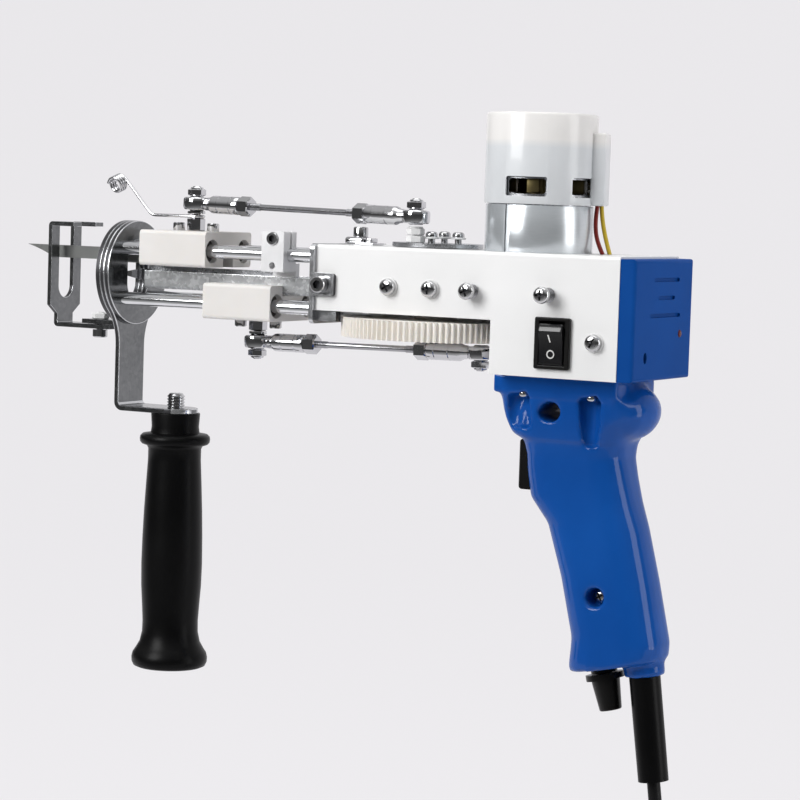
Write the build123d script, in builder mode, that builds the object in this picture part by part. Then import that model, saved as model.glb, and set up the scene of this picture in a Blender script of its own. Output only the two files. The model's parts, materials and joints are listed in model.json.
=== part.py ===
import os
from math import acos, atan2, cos, degrees, pi, radians, sin, sqrt, tan

from build123d import *

os.makedirs("parts", exist_ok=True)

# Handheld tufting machine, in millimetres. The origin is the middle of the pistol grip, where the
# hand closes round it. The needle points to -X, +Z is up and the switch side faces -Y.

# Driving dimensions: the housing
housing_front_x = -123.0
housing_top_z = 115.0
housing_width = 60.0
housing_front_length = 83.2
housing_rear_length = 56.8
housing_front_height = 27.8
housing_rear_height = 50.0
sheet = 1.5
plate = 2.3
overrun = 20.0

# Driving dimensions: the gear train and the two cranks
gear_module = 0.8
gear_teeth = 98
pinion_teeth = 20
gear_height = 8.2
crank_setback = 42.0
gear_drop = 30.2
needle_crank_radius = 13.6
needle_crank_phase = 253.0
needle_link_length = 119.0
cutter_crank_radius = 23.4
cutter_crank_phase = 355.0
cutter_link_length = 111.7
needle_link_front_drop = -15.2
needle_link_rear_drop = -12.9
cutter_link_front_drop = 44.5
cutter_link_rear_drop = 43.3

# Driving dimensions: the guide rods, the nose and the sliders
axis_drop = 16.8
rod_radius = 3.0
rod_span = 26.0
rod_rise = 22.6
nose_reach = 110.8
nose_radius = 23.4
slider_length = 34.6
slider_width = 38.0
slider_height = 15.6

# Driving dimensions: grips, motor and cord
motor_radius = 21.2
motor_above = 57.3
grip_length = 108.0
grip_depth = 42.0
grip_width = 37.0
handle_length = 115.0
cord_radius = 2.75

# Clearances
running = 0.05
pin_fit = 0.01
lens_play = 0.05
hole_play = 0.15
slide_gap = 0.3
lift = 0.3

# Places that many pieces share
half_width = housing_width / 2
inner_half = half_width - sheet
housing_length = housing_front_length + housing_rear_length
axis_z = housing_top_z - axis_drop
crank_x = housing_front_x + crank_setback
gear_distance = gear_module * (gear_teeth + pinion_teeth) / 2
motor_x = crank_x + gear_distance
step_x = housing_front_x + housing_front_length
rear_x = housing_front_x + housing_length
front_bottom_z = housing_top_z - housing_front_height
rear_bottom_z = housing_top_z - housing_rear_height
nose_x = housing_front_x - nose_reach
rod_places = [(side * rod_span / 2, axis_z + level * rod_rise / 2) for level in (1, -1) for side in (1, -1)]
upper_rod_z = axis_z + rod_rise / 2
lower_rod_z = axis_z - rod_rise / 2
low = (Align.CENTER, Align.CENTER, Align.MIN)
high = (Align.CENTER, Align.CENTER, Align.MAX)


def block(x0, x1, y0, y1, z0, z1, mode=Mode.ADD):
    """A box between two corners."""
    with Locations(((x0 + x1) / 2, (y0 + y1) / 2, (z0 + z1) / 2)):
        Box(abs(x1 - x0), abs(y1 - y0), abs(z1 - z0), mode=mode)


def facing(x, y, z, direction):
    """A plane at a point whose normal runs along a direction."""
    return Plane(origin=(x, y, z), z_dir=direction)


def pan_screw(radius, head, shank, length):
    """A pan-head screw at the origin: the head stands on the plane, the shank runs down below it."""
    with BuildPart() as screw:
        Cylinder(radius, head, align=low)
        fillet(screw.edges().filter_by(GeomType.CIRCLE).sort_by(Axis.Z)[-1], head * pan_share)
        Cylinder(shank, length, align=high)
    return screw.part


def socket_screw(radius, head, shank, length):
    """A socket-head screw with its hexagon socket, placed like the pan-head one."""
    with BuildPart() as screw:
        Cylinder(radius, head, align=low)
        with BuildSketch(Plane.XY.offset(head)):
            RegularPolygon(radius * socket_share, side_count=6)
        extrude(amount=-head * socket_depth_share, mode=Mode.SUBTRACT)
        Cylinder(shank, length, align=high)
    return screw.part


def hexagon(flats, height, bore=0.0):
    """A hexagon nut or spacer that stands on the plane."""
    with BuildPart() as nut:
        with BuildSketch():
            RegularPolygon(flats / 2, side_count=6, major_radius=False)
            if bore:
                Circle(bore, mode=Mode.SUBTRACT)
        extrude(amount=height)
    return nut.part


pan_share = 0.45
socket_share = 0.5
socket_depth_share = 0.55

# The screws in both sides of the housing, as shares of its length, its height and their own head
side_screw_shares = [
    (0.254, 0.33, 0.4),
    (0.394, 0.33, 0.4),
    (0.523, 0.33, 0.95),
    (0.771, 0.33, 1.5),
    (0.929, 0.696, 0.3),
]
side_screw_radius = 3.5
side_screw_head = 2.6
side_shank = 1.5
side_shank_length = 7.0
ear_screw_setback = 4.0
ear_screw_x = housing_front_x + ear_screw_setback
ear_screw_height = 4.0
clip_screw_x = -112.0
clip_screw_shank = 1.7
clip_screw_seat = 6.0
clip_y = -3.0
side_screw_places = []
for x_share, drop_share, stand_share in side_screw_shares:
    side_screw_places.append((housing_front_x + x_share * housing_length,
                              housing_top_z - drop_share * housing_rear_height,
                              stand_share * side_screw_head))
with BuildPart() as side_holes:
    for x, z, stand in side_screw_places:
        for side in (-1, 1):
            with Locations(facing(x, side * (half_width + overrun), z, (0, -side, 0))):
                Cylinder(side_shank + running, overrun + side_shank_length + lift, align=low)
    for side in (-1, 1):
        with Locations(facing(ear_screw_x, side * (half_width + overrun), axis_z, (0, -side, 0))):
            Cylinder(side_shank + running, overrun + sheet, align=low)
    with Locations((clip_screw_x, clip_y, housing_top_z - clip_screw_seat)):
        Cylinder(clip_screw_shank + running, overrun, align=low)

# The zinc front plate, with two folded ears over the housing's sides and two feet beneath it
front_thickness = 2.0
front_plate_rise = 0.3
front_plate_height = 33.8
ear_reach = 9.8
ear_height = 9.6
foot_reach = 9.5
foot_width = 4.0
foot_height = 4.5
plate_corner = 2.5

with BuildPart() as front_plate:
    with BuildSketch(Plane.YZ.offset(housing_front_x - front_thickness)):
        with Locations((0, housing_top_z + front_plate_rise - front_plate_height / 2)):
            RectangleRounded(housing_width + 2 * front_thickness, front_plate_height, plate_corner)
    extrude(amount=front_thickness)
    for side in (-1, 1):
        outer = side * (half_width + front_thickness)
        with BuildSketch(Plane.XZ.offset(-outer)) as ear_sketch:
            with Locations((housing_front_x + ear_reach / 2 - front_thickness / 2, axis_z)):
                RectangleRounded(ear_reach + front_thickness, ear_height, plate_corner / 2)
        extrude(amount=side * front_thickness)
        inner = side * (inner_half - foot_width)
        block(housing_front_x, housing_front_x + foot_reach, inner, inner + side * foot_width,
              front_bottom_z - foot_height, front_bottom_z)
    with BuildSketch(Plane.YZ.offset(housing_front_x - front_thickness)):
        with Locations(*rod_places):
            Circle(rod_radius + running)
    extrude(amount=front_thickness, mode=Mode.SUBTRACT)
    add(side_holes.part, mode=Mode.SUBTRACT)
front_plate.part.label = "front_plate"
export_step(front_plate.part, "parts/front_plate.step")

# The white housing shell: one sheet folded over the top and down both sides, deeper behind the step
motor_hole_gap = 1.45
motor_hole = motor_radius + motor_hole_gap
shaft_hole = 6.0
fold_radius = 1.2
switch_share = 0.7993
switch_x = housing_front_x + switch_share * housing_length
switch_drop = 35.9
bezel_width = 15.6
bezel_height = 21.0
switch_z = housing_top_z - switch_drop
connector_width = 12.0
wire_radius = 0.9
wire_start_reach = 25.2
side_outline = [
    (housing_front_x, housing_top_z),
    (rear_x, housing_top_z),
    (rear_x, rear_bottom_z),
    (step_x, rear_bottom_z),
    (step_x, front_bottom_z),
    (housing_front_x, front_bottom_z),
]

with BuildPart() as housing_shell:
    with BuildSketch(Plane.XZ.offset(-half_width)):
        with BuildLine():
            Polyline(*side_outline, close=True)
        make_face()
    extrude(amount=housing_width)
    folds = housing_shell.edges().filter_by(Axis.X).group_by(Axis.Z)[-1]
    fillet(folds, fold_radius)
    block(housing_front_x - overrun, rear_x + overrun, -inner_half, inner_half,
          rear_bottom_z - overrun, housing_top_z - sheet, mode=Mode.SUBTRACT)
    with BuildSketch(Plane.XY.offset(housing_top_z)):
        with Locations((motor_x, 0)):
            Circle(motor_hole)
        with Locations((crank_x, 0)):
            Circle(shaft_hole)
    extrude(amount=-sheet, mode=Mode.SUBTRACT)
    block(switch_x - bezel_width / 2 + sheet - hole_play, switch_x + bezel_width / 2 - sheet + hole_play,
          -half_width - overrun, -inner_half + sheet, switch_z - bezel_height / 2 + sheet - hole_play,
          switch_z + bezel_height / 2 - sheet + hole_play, mode=Mode.SUBTRACT)
    with Locations((motor_x + wire_start_reach + wire_radius, connector_width / 2, housing_top_z)):
        Box(connector_width / 2, connector_width, overrun, mode=Mode.SUBTRACT)
    add(side_holes.part, mode=Mode.SUBTRACT)
housing_shell.part.label = "housing_shell"
export_step(housing_shell.part, "parts/housing_shell.step")

# The floor of the rear housing, folded up in front as a low lip below the gear
lip_height = 9.0
flange_screw_front = -29.6
flange_screw_rear = 1.0
flange_screw_side = 17.0
flange_screw_shank = 1.5
with BuildPart() as housing_floor:
    block(step_x, rear_x, -inner_half, inner_half, rear_bottom_z, rear_bottom_z + sheet)
    block(step_x, step_x + sheet, -inner_half, inner_half, rear_bottom_z, rear_bottom_z + lip_height)
    for screw_x in (flange_screw_front, flange_screw_rear):
        for side in (-1, 1):
            with Locations((screw_x, side * flange_screw_side, rear_bottom_z)):
                Cylinder(flange_screw_shank + running, overrun, mode=Mode.SUBTRACT)
housing_floor.part.label = "housing_floor"
export_step(housing_floor.part, "parts/housing_floor.step")

# The bearing block fills the front housing and carries the gear shaft and the rods' rear ends
block_setback = 2.5
block_length = 62.5
block_margin = 1.5
shaft_radius = 4.0
bearing_radius = 11.0
bearing_height = 7.0
block_top_z = housing_top_z - sheet
block_bottom_z = front_bottom_z + block_margin
with BuildPart() as bearing_block:
    block(housing_front_x + block_setback, housing_front_x + block_setback + block_length,
          -inner_half, inner_half, block_bottom_z, block_top_z)
    with Locations((crank_x, 0, block_bottom_z)):
        Cylinder(bearing_radius, bearing_height, align=low, mode=Mode.SUBTRACT)
        Cylinder(shaft_hole, block_top_z - block_bottom_z, align=low, mode=Mode.SUBTRACT)
    with Locations((crank_x, 0, block_top_z)):
        Cylinder(bearing_radius, bearing_height, align=high, mode=Mode.SUBTRACT)
    add(side_holes.part, mode=Mode.SUBTRACT)
bearing_block.part.label = "bearing_block"
export_step(bearing_block.part, "parts/bearing_block.step")

with BuildPart() as shaft_bearings:
    with Locations((crank_x, 0, block_bottom_z), (crank_x, 0, block_top_z - bearing_height)):
        Cylinder(bearing_radius, bearing_height, align=low)
        Cylinder(shaft_radius + running, bearing_height, align=low, mode=Mode.SUBTRACT)
shaft_bearings.part.label = "shaft_bearings"
export_step(shaft_bearings.part, "parts/shaft_bearings.step")

# The drive gear: straight-flanked nylon teeth round a disc with a hub
tooth_depth = 2.25 * gear_module
root_share = 0.68
pitch_share = 0.46
tip_share = 0.21


def gear_points(teeth, phase):
    """The outline of a gear: six points for each tooth, from root to tip and back."""
    pitch_radius = gear_module * teeth / 2
    tip = pitch_radius + gear_module
    root = tip - tooth_depth
    half_step = pi / teeth
    tooth = [(root, -root_share), (pitch_radius, -pitch_share), (tip, -tip_share),
             (tip, tip_share), (pitch_radius, pitch_share), (root, root_share)]
    points = []
    for number in range(teeth):
        middle = radians(phase) + 2 * half_step * number
        for radius, share in tooth:
            angle = middle + share * half_step
            points.append((radius * cos(angle), radius * sin(angle)))
    return points


gear_top_z = housing_top_z - gear_drop
gear_bottom_z = gear_top_z - gear_height
hub_radius = 9.0
with BuildPart() as drive_gear:
    with BuildSketch(Plane(origin=(crank_x, 0, gear_bottom_z))):
        with BuildLine():
            Polyline(*gear_points(gear_teeth, 0), close=True)
        make_face()
    extrude(amount=gear_height)
    with Locations((crank_x, 0, gear_top_z)):
        Cylinder(hub_radius, block_bottom_z - gear_top_z - lift, align=low)
        Cylinder(shaft_radius, overrun, mode=Mode.SUBTRACT)
drive_gear.part.label = "drive_gear"
export_step(drive_gear.part, "parts/drive_gear.step")

crank_disc_radius = 19.4
crank_disc_thickness = 1.7
disc_bottom_z = housing_top_z + lift
disc_top_z = disc_bottom_z + crank_disc_thickness
with BuildPart() as gear_shaft:
    with Locations((crank_x, 0, gear_bottom_z)):
        Cylinder(shaft_radius, disc_bottom_z - gear_bottom_z, align=low)
gear_shaft.part.label = "gear_shaft"
export_step(gear_shaft.part, "parts/gear_shaft.step")

with BuildPart() as crank_disc:
    with Locations((crank_x, 0, disc_bottom_z)):
        Cylinder(crank_disc_radius, crank_disc_thickness, align=low)
crank_disc.part.label = "crank_disc"
export_step(crank_disc.part, "parts/crank_disc.step")

# The cranks turn under the links: each hexagon spacer ends just below the ball that it would carry
spacer_flats = 7.0
post_gap = 0.7
link_ball_half = 3.4
disc_screw_circle_radius = 9.0
disc_screw_phase = 10.0
disc_screw_radius = 2.6
disc_screw_head = 2.4
disc_screw_stand = 2.6
disc_screw_shank = 1.5
needle_angle = radians(needle_crank_phase)
needle_pin = (crank_x + needle_crank_radius * cos(needle_angle), needle_crank_radius * sin(needle_angle))
cutter_angle = radians(cutter_crank_phase)
cutter_pin = (crank_x + cutter_crank_radius * cos(cutter_angle), cutter_crank_radius * sin(cutter_angle))
needle_pin_z = housing_top_z - needle_link_rear_drop
cutter_pin_z = housing_top_z - cutter_link_rear_drop
needle_spacer = needle_pin_z - link_ball_half - post_gap - disc_top_z
cutter_spacer = gear_bottom_z - cutter_pin_z - link_ball_half - post_gap
disc_screw = pan_screw(disc_screw_radius, disc_screw_head, disc_screw_shank, disc_screw_stand)
needle_post = hexagon(spacer_flats, needle_spacer)
cutter_post = hexagon(spacer_flats, cutter_spacer)
with BuildPart() as crank_fasteners:
    with Locations((*needle_pin, disc_top_z)):
        add(needle_post)
    with Locations((*cutter_pin, gear_bottom_z - cutter_spacer)):
        add(cutter_post)
    with Locations((crank_x, 0, disc_top_z + disc_screw_stand)):
        with PolarLocations(disc_screw_circle_radius, 4, start_angle=disc_screw_phase):
            add(disc_screw)
crank_fasteners.part.label = "crank_fasteners"
export_step(crank_fasteners.part, "parts/crank_fasteners.step")

# The motor stands on a cradle inside the housing, with its flux ring through the top
cradle_drop = 12.0
cradle_setback = 71.5
cradle_gap = 0.5
spigot_depth = 14.0
cradle_flange = 14.0
motor_bottom_z = housing_top_z - cradle_drop + sheet
boss_radius = 8.5
boss_height = 4.5
motor_shaft_radius = 2.5
cradle_x = housing_front_x + cradle_setback
cradle_length = rear_x - spigot_depth - cradle_gap - cradle_x
with BuildPart() as motor_mount:
    block(cradle_x, cradle_x + cradle_length, -inner_half, inner_half,
          motor_bottom_z - sheet, motor_bottom_z)
    for side in (-1, 1):
        block(cradle_x, cradle_x + cradle_length, side * inner_half, side * (inner_half - sheet),
              motor_bottom_z - cradle_flange, motor_bottom_z)
    with Locations((motor_x, 0, motor_bottom_z)):
        Cylinder(boss_radius + hole_play, overrun, mode=Mode.SUBTRACT)
    add(side_holes.part, mode=Mode.SUBTRACT)
motor_mount.part.label = "motor_mount"
export_step(motor_mount.part, "parts/motor_mount.step")

# The motor: a can with a bearing boss below, a split flux ring round it and a windowed fan cover on top
ring_height = 19.8
ring_wall = 1.2
ring_slit = 0.8
ring_slit_angle = -102.0
ring_drop = 6.0
cover_radius = 23.2
cover_wall = 1.6
cover_edge = 1.5
can_top_gap = 4.0
ring_top_z = housing_top_z + ring_height
motor_top_z = housing_top_z + motor_above
shaft_top_z = motor_bottom_z + boss_height
shaft_length = 35.0
with BuildPart() as motor_can:
    with Locations((motor_x, 0, motor_bottom_z)):
        Cylinder(motor_radius, motor_top_z - cover_wall - can_top_gap - motor_bottom_z, align=low)
        Cylinder(boss_radius, boss_height, align=high)
    fillet(motor_can.edges().filter_by(GeomType.CIRCLE).sort_by(Axis.Z)[-1], cover_edge)
    with Locations((motor_x, 0, shaft_top_z)):
        Cylinder(motor_shaft_radius + running, overrun, align=high, mode=Mode.SUBTRACT)
motor_can.part.label = "motor_can"
export_step(motor_can.part, "parts/motor_can.step")

with BuildPart() as motor_ring:
    with Locations((motor_x, 0, housing_top_z - ring_drop)):
        Cylinder(motor_radius + ring_wall, ring_height + ring_drop, align=low)
        Cylinder(motor_radius, ring_height + ring_drop, align=low, mode=Mode.SUBTRACT)
    with Locations(Location((motor_x, 0, housing_top_z), (0, 0, ring_slit_angle))):
        Box(overrun * 2, ring_slit, overrun * 2, align=(Align.MIN, Align.CENTER, Align.CENTER),
            mode=Mode.SUBTRACT)
motor_ring.part.label = "motor_ring"
export_step(motor_ring.part, "parts/motor_ring.step")

window_count = 5
window_phase = -80.0
window_width = 17.5
window_height = 8.0
window_rise = 3.2
connector_reach = 28.0
connector_height = 33.0
connector_drop = 3.0
connector_angle = 14.0
connector_edge = 1.2
with BuildPart() as motor_cover:
    with Locations((motor_x, 0, ring_top_z)):
        Cylinder(cover_radius, motor_top_z - ring_top_z, align=low)
    fillet(motor_cover.edges().filter_by(GeomType.CIRCLE).sort_by(Axis.Z)[-1], cover_edge)
    connector_plane = Plane(origin=(motor_x, 0, ring_top_z - connector_drop))
    with BuildSketch(connector_plane.rotated((0, 0, connector_angle))):
        with Locations((connector_reach / 2, 0)):
            RectangleRounded(connector_reach, connector_width, connector_edge)
    extrude(amount=connector_height)
    with Locations((motor_x, 0, ring_top_z - connector_drop - overrun)):
        Cylinder(motor_radius + cover_wall / 4,
                 motor_top_z - cover_wall - ring_top_z + connector_drop + overrun,
                 align=low, mode=Mode.SUBTRACT)
    with Locations((motor_x, 0, ring_top_z)):
        Cylinder(cover_radius, overrun, align=high, mode=Mode.SUBTRACT)
    with Locations((motor_x, 0, ring_top_z + window_rise + window_height / 2)):
        with PolarLocations(0, window_count, start_angle=window_phase):
            Box(overrun * 2, window_width, window_height, align=(Align.MIN, Align.CENTER, Align.CENTER),
                mode=Mode.SUBTRACT)
motor_cover.part.label = "motor_cover"
export_step(motor_cover.part, "parts/motor_cover.step")

with BuildPart() as motor_shaft:
    with Locations((motor_x, 0, shaft_top_z - lift)):
        Cylinder(motor_shaft_radius, shaft_length, align=high)
motor_shaft.part.label = "motor_shaft"
export_step(motor_shaft.part, "parts/motor_shaft.step")

pinion_overhang = 0.7
with BuildPart() as pinion:
    with BuildSketch(Plane(origin=(motor_x, 0, gear_bottom_z - pinion_overhang))):
        with BuildLine():
            Polyline(*gear_points(pinion_teeth, 180 / pinion_teeth), close=True)
        make_face()
        Circle(motor_shaft_radius, mode=Mode.SUBTRACT)
    extrude(amount=gear_height + 2 * pinion_overhang)
pinion.part.label = "pinion"
export_step(pinion.part, "parts/pinion.step")

# Two insulated wires drop from the connector cover through the top of the housing
wire_spread = 4.4
wire_end_reach = 27.8
wire_gap = 0.08
wire_turn_share = 0.45
with BuildPart() as motor_wires:
    for side in (-1, 1):
        heading = radians(connector_angle + side * degrees(atan2(wire_spread / 2, wire_start_reach)))
        top_z = ring_top_z - connector_drop
        bottom_z = housing_top_z + wire_gap
        points = [
            (motor_x + wire_start_reach * cos(heading), wire_start_reach * sin(heading), top_z),
            (motor_x + wire_start_reach * cos(heading), wire_start_reach * sin(heading),
             top_z + (bottom_z - top_z) * wire_turn_share),
            (motor_x + wire_end_reach * cos(heading), wire_end_reach * sin(heading), bottom_z),
        ]
        with BuildLine() as wire_path:
            FilletPolyline(*points, radius=wire_spread)
        with BuildSketch(Plane(origin=points[0], z_dir=(0, 0, -1))):
            Circle(wire_radius)
        sweep(path=wire_path.wires()[0])
motor_wires.part.label = "motor_wires"
export_step(motor_wires.part, "parts/motor_wires.step")

# The blue rear cap closes the back of the housing and carries the indicator lens
cap_depth = 6.9
cap_inset = 0.8
cap_wall = 2.2
cap_edge = 1.6
louvre_height = 1.6
louvre_depth = 1.0
louvre_shares = [(0.038, 0.182, 0.433), (0.038, 0.328, 0.283), (0.022, 0.472, 0.517)]
lens_y = 17.1
lens_drop = 31.4
lens_radius = 1.6
pin_hole_y = -17.5
pin_hole_drop = 40.5
pin_hole_width = 3.2
pin_hole_height = 4.6
with BuildPart() as rear_cap:
    with BuildSketch(Plane.YZ.offset(rear_x)):
        with Locations((0, housing_top_z - (housing_rear_height + cap_inset) / 2)):
            Rectangle(housing_width - cap_inset, housing_rear_height - cap_inset)
    extrude(amount=cap_depth)
    fillet(rear_cap.faces().sort_by(Axis.X)[-1].edges(), cap_edge)
    block(rear_x - spigot_depth, rear_x, -inner_half + hole_play, inner_half - hole_play,
          rear_bottom_z + sheet + hole_play, housing_top_z - sheet - hole_play)
    block(rear_x - overrun, rear_x + cap_depth - cap_wall, -inner_half + cap_wall, inner_half - cap_wall,
          rear_bottom_z + sheet + cap_wall, housing_top_z - sheet - cap_wall, mode=Mode.SUBTRACT)
    for side_share, drop_share, length_share in louvre_shares:
        with BuildSketch(Plane.YZ.offset(rear_x + cap_depth)):
            with Locations((side_share * housing_width, housing_top_z - drop_share * housing_rear_height)):
                SlotOverall(length_share * housing_width, louvre_height)
        extrude(amount=-louvre_depth, mode=Mode.SUBTRACT)
    with BuildSketch(Plane.YZ.offset(rear_x + cap_depth)):
        with Locations((lens_y, housing_top_z - lens_drop)):
            Circle(lens_radius + lens_play)
        with Locations((pin_hole_y, housing_top_z - pin_hole_drop)):
            Ellipse(pin_hole_width / 2, pin_hole_height / 2)
    extrude(amount=-cap_wall, mode=Mode.SUBTRACT)
    add(side_holes.part, mode=Mode.SUBTRACT)
rear_cap.part.label = "rear_cap"
export_step(rear_cap.part, "parts/rear_cap.step")

# The speed control board stands behind the cap, with the lens of its lamp in the cap's hole
board_thickness = 1.6
board_gap = 0.9
lens_stand = 0.5
lens_length = cap_wall + board_gap + lens_stand
board_x = rear_x + cap_depth - cap_wall - board_gap
with BuildPart() as led_lens:
    with Locations(facing(board_x, lens_y, housing_top_z - lens_drop, (1, 0, 0))):
        Cylinder(lens_radius, lens_length, align=low)
    fillet(led_lens.edges().filter_by(GeomType.CIRCLE).sort_by(Axis.X)[-1], lens_radius / 2)
led_lens.part.label = "led_lens"
export_step(led_lens.part, "parts/led_lens.step")

part_height = 5.0
with BuildPart() as control_board:
    block(board_x - board_thickness, board_x, -inner_half + cap_wall, inner_half - cap_wall,
          rear_bottom_z + sheet + cap_wall, housing_top_z - sheet - cap_wall)
    with Locations((board_x - board_thickness - part_height / 2, 0, axis_z - part_height)):
        with GridLocations(part_height, 4 * part_height, 1, 2):
            Box(part_height, 2 * part_height, 3 * part_height)
control_board.part.label = "control_board"
export_step(control_board.part, "parts/control_board.step")

# The mains switch in the near side: a snap-in bezel and the rocker that tips in it
bezel_stand = 1.9
bezel_edge = 0.8
rocker_width = 10.6
rocker_height = 16.6
rocker_gap = 0.35
body_depth = 16.0
rocker_rise = 3.4
rocker_tilt = 9.0
with BuildPart() as switch_bezel:
    with BuildSketch(Plane(origin=(switch_x, -half_width, switch_z), x_dir=(1, 0, 0), z_dir=(0, -1, 0))):
        RectangleRounded(bezel_width, bezel_height, bezel_edge)
    extrude(amount=bezel_stand)
    fillet(switch_bezel.faces().sort_by(Axis.Y)[0].edges(), bezel_edge / 2)
    block(switch_x - bezel_width / 2 + sheet, switch_x + bezel_width / 2 - sheet, -half_width,
          body_depth - half_width, switch_z - bezel_height / 2 + sheet, switch_z + bezel_height / 2 - sheet)
    block(switch_x - rocker_width / 2 - rocker_gap, switch_x + rocker_width / 2 + rocker_gap,
          -half_width - overrun, rocker_height / 2 - half_width,
          switch_z - rocker_height / 2 - 2 * rocker_gap, switch_z + rocker_height / 2 + 2 * rocker_gap,
          mode=Mode.SUBTRACT)
switch_bezel.part.label = "switch_bezel"
export_step(switch_bezel.part, "parts/switch_bezel.step")

rocker_y = -half_width + bezel_stand
rocker_depth = 5.0
rocker_barrel = 2.6
rocker_pivot_depth = 0.6
rocker_lean = radians(rocker_tilt)
rocker_plane = Plane(origin=(switch_x - rocker_width / 2, rocker_y, switch_z),
                     x_dir=(0, cos(rocker_lean), sin(rocker_lean)), z_dir=(1, 0, 0))
with BuildPart() as switch_rocker:
    with BuildSketch(rocker_plane):
        with BuildLine():
            Polyline((rocker_depth / 2, -rocker_height / 3), (-rocker_rise, -rocker_height / 2),
                     (-rocker_rise + rocker_gap, 0), (-rocker_rise, rocker_height / 2),
                     (rocker_depth / 2, rocker_height / 3), close=True)
        make_face()
    extrude(amount=rocker_width)
    with Locations(facing(switch_x - rocker_width / 2, rocker_y + rocker_pivot_depth, switch_z, (1, 0, 0))):
        Cylinder(rocker_barrel, rocker_width, align=low)
switch_rocker.part.label = "switch_rocker"
export_step(switch_rocker.part, "parts/switch_rocker.step")

# Four ground guide rods, tapped in front, run from the bearing block through the front plate to the nose
nose_screw_radius = 3.4
nose_screw_head = 2.4
nose_screw_shank = 1.9
nose_screw_seat = 8.0
with BuildPart() as guide_rods:
    for y, z in rod_places:
        with Locations(facing(nose_x, y, z, (1, 0, 0))):
            Cylinder(rod_radius, nose_reach + block_setback, align=low)
            Cylinder(nose_screw_shank + running, nose_screw_seat + lift, align=low, mode=Mode.SUBTRACT)
guide_rods.part.label = "guide_rods"
export_step(guide_rods.part, "parts/guide_rods.step")

# The nose: a rear disc on the rods, the handle bracket's disc and the front ring, one against the next
nose_slot_width = 16.0
nose_slot_height = 27.0
nose_slot_drop = 15.6
nose_slot_z = housing_top_z - nose_slot_drop
bracket_disc_x = nose_x - plate
front_ring_x = bracket_disc_x - plate
nose_front_x = front_ring_x - plate

# The slot and the four screw holes go through all the plates of the nose
with BuildPart() as nose_cuts:
    with BuildSketch(Plane.YZ.offset(nose_x)):
        with Locations(Location((0, nose_slot_z), 90)):
            SlotOverall(nose_slot_height, nose_slot_width)
        with Locations(*rod_places):
            Circle(nose_screw_shank + hole_play)
    extrude(amount=-3 * plate)

with BuildPart() as nose_rear_disc:
    with Locations(facing(nose_x, 0, axis_z, (-1, 0, 0))):
        Cylinder(nose_radius, plate, align=low)
    add(nose_cuts.part, mode=Mode.SUBTRACT)
nose_rear_disc.part.label = "nose_rear_disc"
export_step(nose_rear_disc.part, "parts/nose_rear_disc.step")

# The handle bracket: a disc whose strap runs down, bends to the rear and carries the front handle
handle_x = -211.5
strap_width = 20.0
strap_blend = 24.0
bracket_drop = 78.9
bend_radius = 4.0
handle_stud_radius = 4.0
tab_top_z = housing_top_z - bracket_drop + plate
tab_bottom_z = tab_top_z - plate
tab_start = front_ring_x + bend_radius
with BuildPart() as handle_bracket:
    with BuildSketch(Plane.YZ.offset(front_ring_x)) as bracket_sketch:
        with Locations((0, axis_z)):
            Circle(nose_radius)
        with Locations((0, tab_bottom_z + bend_radius)):
            Rectangle(strap_width, axis_z - tab_bottom_z - bend_radius, align=(Align.CENTER, Align.MIN))
        corners = bracket_sketch.vertices().group_by(Axis.Y)[1]
        fillet(corners, strap_blend)
    extrude(amount=plate)
    with BuildSketch(Plane.XZ.offset(-strap_width / 2)):
        with Locations((front_ring_x + bend_radius, tab_bottom_z + bend_radius)):
            Circle(bend_radius)
            Circle(bend_radius - plate, mode=Mode.SUBTRACT)
            Rectangle(overrun, overrun, align=(Align.CENTER, Align.MIN), mode=Mode.SUBTRACT)
            Rectangle(overrun, overrun, align=(Align.MIN, Align.CENTER), mode=Mode.SUBTRACT)
    extrude(amount=strap_width)
    with BuildSketch(Plane.XY.offset(tab_bottom_z)):
        with Locations(((tab_start + handle_x) / 2, 0)):
            Rectangle(handle_x - tab_start, strap_width)
        with Locations((handle_x, 0)):
            Circle(strap_width / 2)
            Circle(handle_stud_radius + hole_play, mode=Mode.SUBTRACT)
    extrude(amount=plate)
    add(nose_cuts.part, mode=Mode.SUBTRACT)
handle_bracket.part.label = "handle_bracket"
export_step(handle_bracket.part, "parts/handle_bracket.step")

# The front ring carries a tab for the presser foot
foot_tab_width = 14.0
foot_tab_reach = 18.5
ring_bottom_z = axis_z - nose_radius
foot_slot_reach = 13.1
foot_slot_x = nose_front_x - foot_slot_reach
foot_screw_shank = 2.0
foot_tab_thickness = 2.0
foot_tab_z = ring_bottom_z - foot_tab_thickness + sheet
with BuildPart() as nose_front_ring:
    with Locations(facing(front_ring_x, 0, axis_z, (-1, 0, 0))):
        Cylinder(nose_radius, plate, align=low)
    block(nose_front_x - foot_tab_reach, front_ring_x, -foot_tab_width / 2, foot_tab_width / 2,
          foot_tab_z, foot_tab_z + foot_tab_thickness)
    add(nose_cuts.part, mode=Mode.SUBTRACT)
    with Locations((foot_slot_x, 0, foot_tab_z)):
        Cylinder(foot_screw_shank + hole_play, overrun, mode=Mode.SUBTRACT)
nose_front_ring.part.label = "nose_front_ring"
export_step(nose_front_ring.part, "parts/nose_front_ring.step")

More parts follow.
